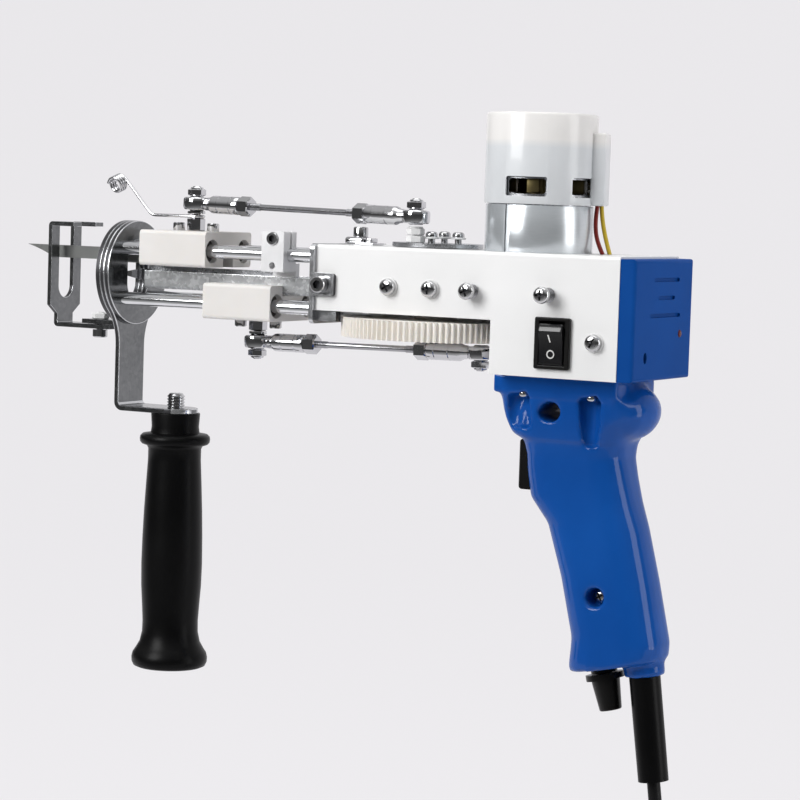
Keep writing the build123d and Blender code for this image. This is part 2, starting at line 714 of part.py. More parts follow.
# The presser foot: a slotted plate before the needle, folded back at the top and at the bottom
foot_plate_reach = 34.8
foot_plate_width = 23.0
foot_slot_width = 11.0
foot_top_rise = 5.0
foot_slot_drop = 29.8
foot_narrow_drop = 33.0
foot_strap_width = 12.0
foot_tab_length = 14.0
foot_strap_reach = 4.0
foot_forward = 5.0
foot_back = 6.0
foot_sheet = 2.0
foot_top_z = housing_top_z + foot_top_rise
foot_strap_z = foot_tab_z - slide_gap - foot_sheet
foot_plate_x = nose_front_x - foot_plate_reach
foot_strap_end = nose_front_x - foot_strap_reach
foot_half = foot_plate_width / 2
strap_half = foot_strap_width / 2
foot_slot_z = housing_top_z - foot_slot_drop + foot_slot_width / 2
with BuildPart() as presser_foot:
    with BuildSketch(Plane.YZ.offset(foot_plate_x)):
        with BuildLine():
            Polyline((foot_half, foot_top_z), (foot_half, housing_top_z - foot_narrow_drop),
                     (strap_half, foot_strap_z + strap_half), (strap_half, foot_strap_z),
                     (-strap_half, foot_strap_z), (-strap_half, foot_strap_z + strap_half),
                     (-foot_half, housing_top_z - foot_narrow_drop), (-foot_half, foot_top_z), close=True)
        make_face()
    extrude(amount=foot_sheet)
    block(foot_plate_x, foot_plate_x + foot_tab_length, -foot_half, foot_half,
          foot_top_z - foot_sheet, foot_top_z)
    block(foot_plate_x, foot_strap_end, -strap_half, strap_half, foot_strap_z, foot_strap_z + foot_sheet)
    long_bends = presser_foot.edges().filter_by(Axis.Y).filter_by_position(
        Axis.X, foot_plate_x, foot_plate_x, inclusive=(True, True))
    fillet(long_bends, foot_sheet)
    with BuildSketch(Plane.YZ.offset(foot_plate_x - overrun)):
        with Locations((0, foot_slot_z)):
            Circle(foot_slot_width / 2)
            Rectangle(foot_slot_width, foot_top_z - foot_slot_z + foot_sheet,
                      align=(Align.CENTER, Align.MIN))
    extrude(amount=2 * overrun, mode=Mode.SUBTRACT)
    with BuildSketch(Plane.XY.offset(foot_strap_z)):
        with Locations((foot_slot_x + (foot_forward - foot_back) / 2, 0)):
            SlotOverall(foot_forward + foot_back + 2 * (foot_screw_shank + hole_play),
                        2 * (foot_screw_shank + hole_play))
    extrude(amount=foot_sheet, mode=Mode.SUBTRACT)
presser_foot.part.label = "presser_foot"
export_step(presser_foot.part, "parts/presser_foot.step")

# The front handle: black rubber turned round a steel stud that stands out of the bracket
handle_neck = 11.4
handle_flange = 15.9
handle_waist = 11.9
handle_belly = 14.2
handle_bulb = 17.1
flange_drop = 9.0
flange_thickness = 5.5
stud_stand = 5.0
stud_sink = 30.0
body_levels_share = [(0.16, 0.0), (0.5, 0.85), (0.78, 1.0), (0.9, 0.8)]
handle_top_z = tab_bottom_z
with BuildPart() as front_handle:
    with BuildSketch(Plane(origin=(handle_x, 0, handle_top_z), x_dir=(1, 0, 0), z_dir=(0, -1, 0))):
        with BuildLine():
            flange_z = -flange_drop
            under_z = flange_z - flange_thickness
            waist_z = -handle_length * body_levels_share[0][0]
            belly = [(handle_waist + (handle_belly - handle_waist) * grow, -handle_length * level)
                     for level, grow in body_levels_share]
            bulb_z = -handle_length + (handle_bulb - handle_waist)
            Polyline((0, 0), (handle_neck, 0), (handle_neck, flange_z))
            Line((handle_neck, flange_z), (handle_flange, flange_z))
            Line((handle_flange, flange_z), (handle_flange, under_z))
            Polyline((handle_flange, under_z), (handle_waist, under_z), belly[0])
            Spline(belly[0], *belly[1:], (handle_bulb, bulb_z + sheet))
            Polyline((handle_bulb, bulb_z + sheet), (handle_bulb, -handle_length), (0, -handle_length),
                     (0, 0))
        make_face()
    revolve(axis=Axis((handle_x, 0, 0), (0, 0, 1)))
    rims = front_handle.edges().filter_by(GeomType.CIRCLE)
    fillet(rims.filter_by(lambda edge: edge.radius > handle_neck + sheet), sheet)
    with Locations((handle_x, 0, handle_top_z)):
        Cylinder(handle_stud_radius + running, stud_sink, align=high, mode=Mode.SUBTRACT)
front_handle.part.label = "front_handle"
export_step(front_handle.part, "parts/front_handle.step")

with BuildPart() as handle_stud:
    with Locations((handle_x, 0, tab_top_z + stud_stand)):
        Cylinder(handle_stud_radius, stud_stand + plate + stud_sink, align=high)
    chamfer(handle_stud.edges().filter_by(GeomType.CIRCLE).sort_by(Axis.Z)[-1], handle_stud_radius / 5)
handle_stud.part.label = "handle_stud"
export_step(handle_stud.part, "parts/handle_stud.step")

# The zinc guide channel behind the nose: a folded trough whose floor is slotted for the cutter
channel_width = 16.0
channel_height = 8.0
channel_drop = 15.2
channel_front = -225.0
channel_slot = 4.4
channel_slot_end = -153.0
channel_top_z = housing_top_z - channel_drop
channel_floor_z = channel_top_z - channel_height
channel_end = housing_front_x - front_thickness
with BuildPart() as guide_channel:
    block(channel_front, channel_end, -channel_width / 2, channel_width / 2, channel_floor_z, channel_top_z)
    fillet(guide_channel.edges().filter_by(Axis.X).group_by(Axis.Z)[0], sheet)
    block(channel_front - overrun, channel_end + overrun,
          sheet - channel_width / 2, channel_width / 2 - sheet,
          channel_floor_z + sheet, channel_top_z + overrun, mode=Mode.SUBTRACT)
    block(channel_front - overrun, channel_slot_end, -channel_slot / 2, channel_slot / 2,
          channel_floor_z - overrun, channel_top_z, mode=Mode.SUBTRACT)
guide_channel.part.label = "guide_channel"
export_step(guide_channel.part, "parts/guide_channel.step")

# A split aluminium clamp on the near upper rod, with a lug that rests on the channel's wall
clamp_x = -151.5
clamp_length = 11.2
clamp_width = 10.6
clamp_top_rise = 4.5
clamp_slit = 1.2
lug_width = 3.2
lug_rise = 6.0
clamp_bottom_drop = 13.0
rod_y = rod_span / 2
clamp_near = -rod_y - clamp_width / 2 - sheet / 2
clamp_far = clamp_near + clamp_width
clamp_screw_rise = 1.3
clamp_screw_radius = 2.8
clamp_screw_head = 2.4
clamp_screw_sink = 1.4
clamp_screw_shank = 1.3
clamp_screw_length = 8.0
grub_drop = 10.3
grub_radius = 1.5
grub_depth = 4.0
clamp_screw_z = housing_top_z + clamp_screw_rise
clamp_edge = 0.6
with BuildPart() as rod_clamp:
    block(clamp_x - clamp_length / 2, clamp_x + clamp_length / 2, clamp_near, clamp_far,
          housing_top_z - clamp_bottom_drop, housing_top_z + clamp_top_rise)
    fillet(rod_clamp.edges().filter_by(Axis.Y), clamp_edge)
    block(clamp_x - clamp_length / 2, clamp_x + clamp_length / 2, clamp_far, clamp_far + lug_width,
          channel_top_z, channel_top_z + lug_rise)
    with Locations(facing(clamp_x - overrun, -rod_y, upper_rod_z, (1, 0, 0))):
        Cylinder(rod_radius + running, 2 * overrun, align=low, mode=Mode.SUBTRACT)
    block(clamp_x - overrun, clamp_x + overrun, -rod_y - clamp_slit / 2, -rod_y + clamp_slit / 2,
          upper_rod_z, housing_top_z + overrun, mode=Mode.SUBTRACT)
    with Locations(facing(clamp_x, clamp_near, clamp_screw_z, (0, -1, 0))):
        Cylinder(clamp_screw_radius + hole_play, clamp_screw_sink, align=high, mode=Mode.SUBTRACT)
        Cylinder(clamp_screw_shank + running, clamp_screw_sink + clamp_screw_length + lift, align=high,
                 mode=Mode.SUBTRACT)
    with Locations(facing(clamp_x, clamp_near, housing_top_z - grub_drop, (0, -1, 0))):
        Cylinder(grub_radius, grub_depth, align=high, mode=Mode.SUBTRACT)
rod_clamp.part.label = "rod_clamp"
export_step(rod_clamp.part, "parts/rod_clamp.step")

# The two nylon sliders: each runs on two rods, with wide counterbores at its ends
counterbore_radius = 5.2
counterbore_depth = 2.6
slider_edge = 1.6
needle_slider_rise = 0.7
cutter_slider_rise = 1.2
needle_link_reach = sqrt(needle_link_length ** 2 - needle_pin[1] ** 2)
needle_slider_x = needle_pin[0] - needle_link_reach
cutter_link_reach = sqrt(cutter_link_length ** 2 - cutter_pin[1] ** 2)
cutter_slider_x = cutter_pin[0] - cutter_link_reach
slider_screw_step = 9.0
slider_screw_shank = 1.9
slider_hole = 14.0
needle_bar_width = 8.0
needle_bar_height = 7.3
needle_bar_drop = 5.0
needle_bar_front = -251.0
needle_bar_rear = -199.0
needle_slit = 3.2
needle_seat = 8.0
cutter_bar_width = 6.0
channel_gap = 0.3


def slider_body(x, rod_z, rise):
    """A nylon slider round one pair of rods, whose middle lies a little above them."""
    with BuildPart() as body:
        with Locations((x, 0, rod_z + rise)):
            Box(slider_length, slider_width, slider_height)
        fillet(body.edges().filter_by(Axis.X), slider_edge)
        for rod_side in (-1, 1):
            with Locations(facing(x, rod_side * rod_y, rod_z, (1, 0, 0))):
                Cylinder(rod_radius + running, slider_length + overrun, mode=Mode.SUBTRACT)
            for end in (-1, 1):
                with Locations(facing(x + end * slider_length / 2, rod_side * rod_y, rod_z, (-end, 0, 0))):
                    Cylinder(counterbore_radius, counterbore_depth, align=low, mode=Mode.SUBTRACT)
    return body.part


needle_slider_top = upper_rod_z + needle_slider_rise + slider_height / 2
needle_bar_top = housing_top_z - needle_bar_drop
needle_bar_bottom = needle_bar_top - needle_bar_height
needle_slider_blank = slider_body(needle_slider_x, upper_rod_z, needle_slider_rise)
with BuildPart() as needle_slider:
    add(needle_slider_blank)
    block(needle_slider_x - overrun, needle_slider_x + overrun, -needle_bar_width / 2, needle_bar_width / 2,
          upper_rod_z - overrun, needle_bar_top, mode=Mode.SUBTRACT)
    with Locations((needle_slider_x, 0, needle_slider_top)):
        with GridLocations(slider_screw_step, 1, 3, 1):
            Cylinder(slider_screw_shank + hole_play, slider_hole, mode=Mode.SUBTRACT)
needle_slider.part.label = "needle_slider"
export_step(needle_slider.part, "parts/needle_slider.step")

with BuildPart() as needle_bar:
    block(needle_bar_front, needle_bar_rear, -needle_bar_width / 2, needle_bar_width / 2,
          needle_bar_bottom, needle_bar_top)
    fillet(needle_bar.edges().filter_by(Axis.X), slider_edge / 2)
    block(needle_bar_front, needle_bar_front + needle_seat, -needle_slit / 2, needle_slit / 2,
          needle_bar_bottom - overrun, needle_bar_top + overrun, mode=Mode.SUBTRACT)
needle_bar.part.label = "needle_bar"
export_step(needle_bar.part, "parts/needle_bar.step")

# The needle: a flat steel tube ground to a point along its top edge, open below for the yarn
needle_tip_x = -294.3
needle_taper = 15.0
needle_top_drop = 5.9
needle_depth = 5.6
yarn_width = 2.0
needle_wall = 0.8
needle_bevel_share = 0.6
needle_dip_share = 0.52
needle_rear_x = needle_bar_front + needle_seat
needle_top_z = housing_top_z - needle_top_drop
needle_low_z = needle_top_z - needle_depth
shoulder = (needle_tip_x + needle_taper, needle_low_z)
with BuildPart() as needle:
    with BuildSketch(Plane.XZ.offset(-needle_slit / 2)):
        with BuildLine():
            Polyline((needle_rear_x, needle_low_z), (needle_rear_x, needle_top_z),
                     (needle_tip_x + needle_depth, needle_top_z), (needle_tip_x, needle_top_z))
            ThreePointArc((needle_tip_x, needle_top_z),
                          (needle_tip_x + needle_bevel_share * needle_taper,
                           needle_top_z - needle_dip_share * needle_depth), shoulder)
            Line(shoulder, (needle_rear_x, needle_low_z))
        make_face()
    extrude(amount=needle_slit)
    block(needle_tip_x + needle_depth, needle_rear_x + overrun, -yarn_width / 2, yarn_width / 2,
          needle_low_z - overrun, needle_top_z - needle_wall, mode=Mode.SUBTRACT)
needle.part.label = "needle"
export_step(needle.part, "parts/needle.step")

# The cutter slider straddles the channel, and its bar runs inside the trough
channel_notch = 2.0 * (channel_width / 2 + channel_gap)
web_top_z = channel_floor_z - channel_gap
cutter_slider_bottom = lower_rod_z + cutter_slider_rise - slider_height / 2
cutter_slider_blank = slider_body(cutter_slider_x, lower_rod_z, cutter_slider_rise)
with BuildPart() as cutter_slider:
    add(cutter_slider_blank)
    block(cutter_slider_x - overrun, cutter_slider_x + overrun, -channel_notch / 2, channel_notch / 2,
          web_top_z, lower_rod_z + overrun, mode=Mode.SUBTRACT)
    with Locations((cutter_slider_x, 0, cutter_slider_bottom)):
        with GridLocations(slider_screw_step, 1, 3, 1):
            Cylinder(slider_screw_shank + hole_play, slider_hole, mode=Mode.SUBTRACT)
cutter_slider.part.label = "cutter_slider"
export_step(cutter_slider.part, "parts/cutter_slider.step")

cutter_bar_front = -226.0
cutter_bar_rear = -157.0
cutter_bar_top_drop = 13.3
cutter_post_width = 3.4
cutter_post_half = 12.0
blade_thickness = 1.2
blade_gap = 0.3
cutter_bar_top = housing_top_z - cutter_bar_top_drop
cutter_bar_bottom = channel_floor_z + sheet + channel_gap
blade_slot = 2 * blade_thickness + blade_gap
blade_seat = 9.0
pivot_radius = 1.2
pivot_inset = 4.5
pivot_x = cutter_bar_front + pivot_inset
pivot_z = (cutter_bar_top + cutter_bar_bottom) / 2
with BuildPart() as cutter_bar:
    block(cutter_bar_front, cutter_bar_rear, -cutter_bar_width / 2, cutter_bar_width / 2,
          cutter_bar_bottom, cutter_bar_top)
    block(cutter_slider_x - cutter_post_half, cutter_slider_x + cutter_post_half, -cutter_post_width / 2,
          cutter_post_width / 2, web_top_z, cutter_bar_bottom)
    block(cutter_bar_front, cutter_bar_front + blade_seat, -blade_slot / 2 - blade_gap,
          blade_slot / 2 + blade_gap, cutter_bar_bottom - overrun, cutter_bar_top + overrun,
          mode=Mode.SUBTRACT)
    with Locations(facing(pivot_x, 0, pivot_z, (0, 1, 0))):
        Cylinder(pivot_radius + pin_fit, overrun, mode=Mode.SUBTRACT)
cutter_bar.part.label = "cutter_bar"
export_step(cutter_bar.part, "parts/cutter_bar.step")

# The scissor blades: one fixed on the bar, one that swings down on the pivot pin
blade_reach = 19.0
blade_tail = 3.4
blade_height = 5.2
blade_nose = 1.4


def blade_shape(start_y, low_edge, high_edge):
    """A blade in the plane of the needle, pointed in front, with its pivot hole."""
    with BuildPart() as blade:
        with BuildSketch(Plane.XZ.offset(-start_y)):
            with BuildLine():
                Polyline((pivot_x + blade_tail, pivot_z + low_edge),
                         (pivot_x + blade_tail, pivot_z + high_edge),
                         (pivot_x - blade_reach / 2, pivot_z + high_edge),
                         (pivot_x - blade_reach, pivot_z + blade_nose / 2),
                         (pivot_x - blade_reach, pivot_z - blade_nose / 2),
                         (pivot_x - blade_reach / 2, pivot_z + low_edge),
                         close=True)
            make_face()
            with Locations((pivot_x, pivot_z)):
                Circle(pivot_radius + running, mode=Mode.SUBTRACT)
        extrude(amount=-blade_thickness)
    return blade.part


blade_middle = blade_height / 2
fixed_blade_blank = blade_shape(-blade_gap / 2 - blade_thickness, -blade_middle, blade_middle)
with BuildPart() as fixed_blade:
    add(fixed_blade_blank)
fixed_blade.part.label = "fixed_blade"
export_step(fixed_blade.part, "parts/fixed_blade.step")

moving_blade_blank = blade_shape(blade_gap / 2, -blade_middle, blade_middle - blade_nose / 2)
with BuildPart() as moving_blade:
    add(moving_blade_blank)
moving_blade.part.label = "moving_blade"
export_step(moving_blade.part, "parts/moving_blade.step")

# Ball studs, nuts and screws of both carriages
ball_radius = 4.0
stud_radius = 1.9
stud_flats = 7.0
stud_seat = 6.0
needle_hex_height = 5.7
nut_height = 3.8
bolt_end = 0.6
slider_screw_head = 2.7
slider_screw_height = 3.6
wire_radius_guide = 0.8
washer_radius = 4.0
washer_height = 1.2
needle_ball_z = housing_top_z - needle_link_front_drop
cutter_ball_z = housing_top_z - cutter_link_front_drop
slider_screw = socket_screw(slider_screw_head, slider_screw_height, slider_screw_shank, stud_seat)
stud_nut = hexagon(stud_flats, nut_height, stud_radius + running)


def ball_stud(reach, hex_height, washer_stand, seat):
    """A ball stud on the plane: a hexagon, a washer, a flattened ball and a threaded end above it."""
    with BuildPart() as stud:
        with Locations((0, 0, reach)):
            Sphere(ball_radius)
        block(-overrun, overrun, -overrun, overrun, reach + link_ball_half, reach + overrun,
              mode=Mode.SUBTRACT)
        block(-overrun, overrun, -overrun, overrun, reach - overrun, reach - link_ball_half,
              mode=Mode.SUBTRACT)
        with BuildSketch():
            RegularPolygon(stud_flats / 2, side_count=6, major_radius=False)
        extrude(amount=hex_height)
        with Locations((0, 0, washer_stand)):
            Cylinder(washer_radius, washer_height, align=low)
        with Locations((0, 0, -seat)):
            Cylinder(stud_radius, seat + reach + link_ball_half + nut_height + bolt_end, align=low)
    return stud.part


# The needle carriage's stud also clamps the hook of the wire yarn guide
guide_z = needle_slider_top + needle_hex_height + wire_radius_guide + hole_play
needle_reach = needle_ball_z - needle_slider_top
washer_stand = needle_reach - link_ball_half - washer_height
needle_stud = ball_stud(needle_reach, needle_hex_height, washer_stand, stud_seat)
with BuildPart() as needle_fasteners:
    with Locations((needle_slider_x, 0, needle_slider_top)):
        add(needle_stud)
        with GridLocations(2 * slider_screw_step, 1, 2, 1):
            add(slider_screw)
    with Locations((needle_slider_x, 0, needle_ball_z + link_ball_half + running)):
        add(stud_nut)
needle_fasteners.part.label = "needle_fasteners"
export_step(needle_fasteners.part, "parts/needle_fasteners.step")

cutter_reach = cutter_slider_bottom - cutter_ball_z
cutter_hex_height = cutter_reach - link_ball_half - washer_height
cutter_stud = ball_stud(cutter_reach, cutter_hex_height, cutter_hex_height, stud_seat)
with BuildPart() as cutter_fasteners:
    with Locations(facing(cutter_slider_x, 0, cutter_slider_bottom, (0, 0, -1))):
        add(cutter_stud)
        with GridLocations(2 * slider_screw_step, 1, 2, 1):
            add(slider_screw)
    with Locations(facing(cutter_slider_x, 0, cutter_ball_z - link_ball_half - running, (0, 0, -1))):
        add(stud_nut)
    with Locations(facing(pivot_x, -cutter_bar_width / 2, pivot_z, (0, 1, 0))):
        Cylinder(pivot_radius, cutter_bar_width, align=low)
cutter_fasteners.part.label = "cutter_fasteners"
export_step(cutter_fasteners.part, "parts/cutter_fasteners.step")

# The wire yarn guide: a hook round the stud, one free leg, and one leg that rises to a coiled eye
guide_hook_radius = 3.2
guide_free_x = -226.0
guide_bend = 5.0
eye_x = -245.0
eye_z = 139.2
eye_radius = 4.0
eye_pitch = 2.0
eye_turns = 2.5
eye_points = 21
bend_x = guide_free_x - guide_bend / 2
eye_distance = sqrt((eye_x - bend_x) ** 2 + (eye_z - guide_z) ** 2)
eye_rise = atan2(eye_z - guide_z, eye_x - bend_x) - atan2(eye_radius, eye_distance)
leg_direction = (cos(eye_rise), 0, sin(eye_rise))
eye_sweep = 2 * pi * eye_turns
eye_path = []
for step in range(eye_points):
    share = step / (eye_points - 1)
    eye_turn = eye_rise - pi / 2 + share * eye_sweep
    eye_path.append((eye_x + eye_radius * cos(eye_turn), -guide_hook_radius + share * eye_pitch * eye_turns,
                     eye_z + eye_radius * sin(eye_turn)))
eye_end = (cos(eye_rise + eye_sweep), 0, sin(eye_rise + eye_sweep))
with BuildPart() as yarn_guide:
    with BuildLine() as guide_path:
        Line((guide_free_x, guide_hook_radius, guide_z), (needle_slider_x, guide_hook_radius, guide_z))
        ThreePointArc((needle_slider_x, guide_hook_radius, guide_z),
                      (needle_slider_x + guide_hook_radius, 0, guide_z),
                      (needle_slider_x, -guide_hook_radius, guide_z))
        FilletPolyline((needle_slider_x, -guide_hook_radius, guide_z),
                       (bend_x, -guide_hook_radius, guide_z), eye_path[0],
                       radius=guide_bend)
        Spline(*eye_path, tangents=(leg_direction, eye_end))
    with BuildSketch(facing(guide_free_x, guide_hook_radius, guide_z, (1, 0, 0))):
        Circle(wire_radius_guide)
    sweep(path=guide_path.wires()[0])
yarn_guide.part.label = "yarn_guide"
export_step(yarn_guide.part, "parts/yarn_guide.step")

# The two links: rod ends that turn on the balls, screwed to a thin rod between two lock nuts
eye_outer = 6.0
eye_half = 2.75
race_gap = 0.1
end_body_radius = 4.0
end_body_reach = 25.0
neck_radius = 3.2
neck_reach = 9.5
neck_start = 5.2
link_rod_radius = 1.6
rod_seat = 9.0
lock_flats = 7.6
lock_height = 6.0
with BuildPart() as rod_end:
    Cylinder(eye_outer, 2 * eye_half)
    with Locations(facing(neck_start, 0, 0, (1, 0, 0))):
        Cylinder(neck_radius, neck_reach - neck_start, align=low)
    with Locations(facing(neck_reach, 0, 0, (1, 0, 0))):
        Cylinder(end_body_radius, end_body_reach - neck_reach, align=low)
    Sphere(ball_radius + race_gap, mode=Mode.SUBTRACT)
    with Locations(facing(end_body_reach - rod_seat, 0, 0, (1, 0, 0))):
        Cylinder(link_rod_radius + running, overrun, align=low, mode=Mode.SUBTRACT)
with BuildPart() as crank_ball:
    Sphere(ball_radius)
    block(-overrun, overrun, -overrun, overrun, link_ball_half, overrun, mode=Mode.SUBTRACT)
    block(-overrun, overrun, -overrun, overrun, -overrun, -link_ball_half, mode=Mode.SUBTRACT)
    Cylinder(stud_radius, link_ball_half + nut_height + bolt_end, align=low)
lock_nut = hexagon(lock_flats, lock_height, link_rod_radius + running)
needle_front = Vector(needle_slider_x, 0, needle_ball_z)
needle_rear = Vector(*needle_pin, needle_pin_z)
cutter_front = Vector(cutter_slider_x, 0, cutter_ball_z)
cutter_rear = Vector(*cutter_pin, cutter_pin_z)


def link_end(start, finish):
    """The plane of a rod end at one ball, whose X points along the link to the other ball."""
    along = (finish - start).normalized()
    return Plane(origin=start, x_dir=along, z_dir=along.cross(Vector(0, 0, 1).cross(along)))


def link_along(start, finish, distance):
    """A plane across the link at a distance from its first ball."""
    along = (finish - start).normalized()
    return Plane(origin=start + along * distance, z_dir=along)


needle_span = (needle_rear - needle_front).length
cutter_span = (cutter_rear - cutter_front).length
with BuildPart() as upper_rod_ends:
    with Locations(link_end(needle_front, needle_rear), link_end(needle_rear, needle_front)):
        add(rod_end.part)
upper_rod_ends.part.label = "upper_rod_ends"
export_step(upper_rod_ends.part, "parts/upper_rod_ends.step")

with BuildPart() as lower_rod_ends:
    with Locations(link_end(cutter_front, cutter_rear), link_end(cutter_rear, cutter_front)):
        add(rod_end.part)
lower_rod_ends.part.label = "lower_rod_ends"
export_step(lower_rod_ends.part, "parts/lower_rod_ends.step")

rod_start = end_body_reach - rod_seat + lift
nut_start = end_body_reach + running
with BuildPart() as upper_link_rod:
    with Locations(link_along(needle_front, needle_rear, rod_start)):
        Cylinder(link_rod_radius, needle_span - 2 * rod_start, align=low)
    with Locations(link_along(needle_front, needle_rear, nut_start),
                   link_along(needle_rear, needle_front, nut_start)):
        add(lock_nut)
upper_link_rod.part.label = "upper_link_rod"
export_step(upper_link_rod.part, "parts/upper_link_rod.step")

with BuildPart() as lower_link_rod:
    with Locations(link_along(cutter_front, cutter_rear, rod_start)):
        Cylinder(link_rod_radius, cutter_span - 2 * rod_start, align=low)
    with Locations(link_along(cutter_front, cutter_rear, nut_start),
                   link_along(cutter_rear, cutter_front, nut_start)):
        add(lock_nut)
lower_link_rod.part.label = "lower_link_rod"
export_step(lower_link_rod.part, "parts/lower_link_rod.step")

with BuildPart() as upper_crank_ball:
    with Locations(needle_rear):
        add(crank_ball.part)
    with Locations(needle_rear + Vector(0, 0, link_ball_half + running)):
        add(stud_nut)
upper_crank_ball.part.label = "upper_crank_ball"
export_step(upper_crank_ball.part, "parts/upper_crank_ball.step")

downward_ball = facing(*cutter_rear, (0, 0, -1))
with BuildPart() as lower_crank_ball:
    with Locations(downward_ball):
        add(crank_ball.part)
    with Locations(downward_ball.offset(link_ball_half + running)):
        add(stud_nut)
lower_crank_ball.part.label = "lower_crank_ball"
export_step(lower_crank_ball.part, "parts/lower_crank_ball.step")

# The grey clip on top of the front plate: a bent strip under one cap screw
clip_rear_x = -104.5
clip_front_x = -122.8
clip_width = 14.0
clip_sheet = 1.2
clip_rise = 2.3
clip_plateau = 14.3
clip_screw_radius = 3.4
clip_screw_height = 4.2
clip_near = clip_y - clip_width / 2
clip_far = clip_y + clip_width / 2
with BuildPart() as top_clip:
    block(clip_front_x, clip_rear_x, clip_near, clip_far, housing_top_z, housing_top_z + clip_sheet)
    block(clip_front_x, clip_front_x + clip_plateau, clip_near, clip_far,
          housing_top_z + clip_sheet, housing_top_z + clip_sheet + clip_rise)
    fillet(top_clip.edges().filter_by(Axis.Z), clip_sheet)
    with Locations((clip_screw_x, clip_y, housing_top_z)):
        Cylinder(clip_screw_shank + hole_play, overrun, align=low, mode=Mode.SUBTRACT)
top_clip.part.label = "top_clip"
export_step(top_clip.part, "parts/top_clip.step")

# The moulded pistol grip: two halves that meet in the middle plane, under a flange on the housing
grip_flange_front = -41.5
grip_flange_rear = 13.0
grip_flange_half = 20.0
grip_flange_height = 8.0
grip_base_z = rear_bottom_z - grip_flange_height
grip_station_shares = [
    (0.0, -0.964, 0.369, 0.5, 0.16),
    (0.028, -0.94, 0.429, 0.5, 0.24),
    (0.08, -0.881, 0.417, 0.495, 0.27),
    (0.13, -0.848, 0.321, 0.481, 0.3),
    (0.176, -0.798, 0.274, 0.46, 0.32),
    (0.231, -0.769, 0.269, 0.441, 0.34),
    (0.302, -0.762, 0.31, 0.43, 0.35),
    (0.398, -0.726, 0.376, 0.422, 0.36),
    (0.495, -0.536, 0.464, 0.419, 0.38),
    (0.697, -0.369, 0.595, 0.432, 0.39),
    (0.926, -0.226, 0.721, 0.446, 0.39),
    (1.083, -0.262, 0.7, 0.446, 0.39),
]
foot_front_x = -8.0
foot_front_z = -58.0
foot_rear_x = 28.5
foot_rear_z = -49.5
with BuildPart() as grip_body:
    for drop_share, front_share, rear_share, half_share, corner_share in grip_station_shares:
        station_front = front_share * grip_depth
        station_rear = rear_share * grip_depth
        with BuildSketch(Plane.XY.offset(grip_base_z - drop_share * grip_length)):
            with Locations(((station_front + station_rear) / 2, 0)):
                RectangleRounded(station_rear - station_front, 2 * half_share * grip_width,
                                 corner_share * grip_width)
    loft(ruled=True)

# The grip's cuts: its slanted foot, the trigger's pocket, the inner seats, the screw scoops
foot_length = sqrt((foot_rear_x - foot_front_x) ** 2 + (foot_rear_z - foot_front_z) ** 2)
knob_axis = ((foot_rear_z - foot_front_z) / foot_length, 0, (foot_front_x - foot_rear_x) / foot_length)
knob_x = 3.2
knob_along = (knob_x - foot_front_x) / (foot_rear_x - foot_front_x)
knob_plane = facing(knob_x, 0, foot_front_z + knob_along * (foot_rear_z - foot_front_z), knob_axis)
trigger_width = 12.0
trigger_top_z = 37.3
trigger_height = 21.0
trigger_front = -37.0
trigger_back = -24.3
trigger_travel = 3.5
trigger_gap = 0.35
pocket_back = -20.5
switch_box_length = 14.0
switch_box_width = 10.0
switch_box_low = 20.0
switch_box_high = 34.0
plunger_radius = 1.6
control_radius = 8.0
control_depth = 9.0
control_wall = 3.0
bushing_radius = 4.5
cross_hole_x = -16.3
cross_hole_z = 50.4
cross_hole_radius = 4.0
grip_screw_x = 4.8
grip_screw_z = -24.5
grip_screw_sink = 12.5
grip_screw_recess = 4.0
grip_screw_shank = 1.6
flange_screw_radius = 2.8
flange_screw_head = 2.4
scoop_top_radius = 5.0
scoop_low_radius = 3.2
scoop_front_height = 14.0
scoop_rear_height = 20.0
relief_top_x = 21.8
relief_top_z = -57.0
relief_end_x = 27.5
relief_end_z = -99.8
relief_length = sqrt((relief_end_x - relief_top_x) ** 2 + (relief_end_z - relief_top_z) ** 2)
relief_axis = ((relief_end_x - relief_top_x) / relief_length, 0,
               (relief_end_z - relief_top_z) / relief_length)
relief_plane = facing(relief_top_x, 0, relief_top_z, relief_axis)
collar_radius = 8.5
collar_depth = 12.0
relief_neck = 5.0
relief_neck_depth = 9.0
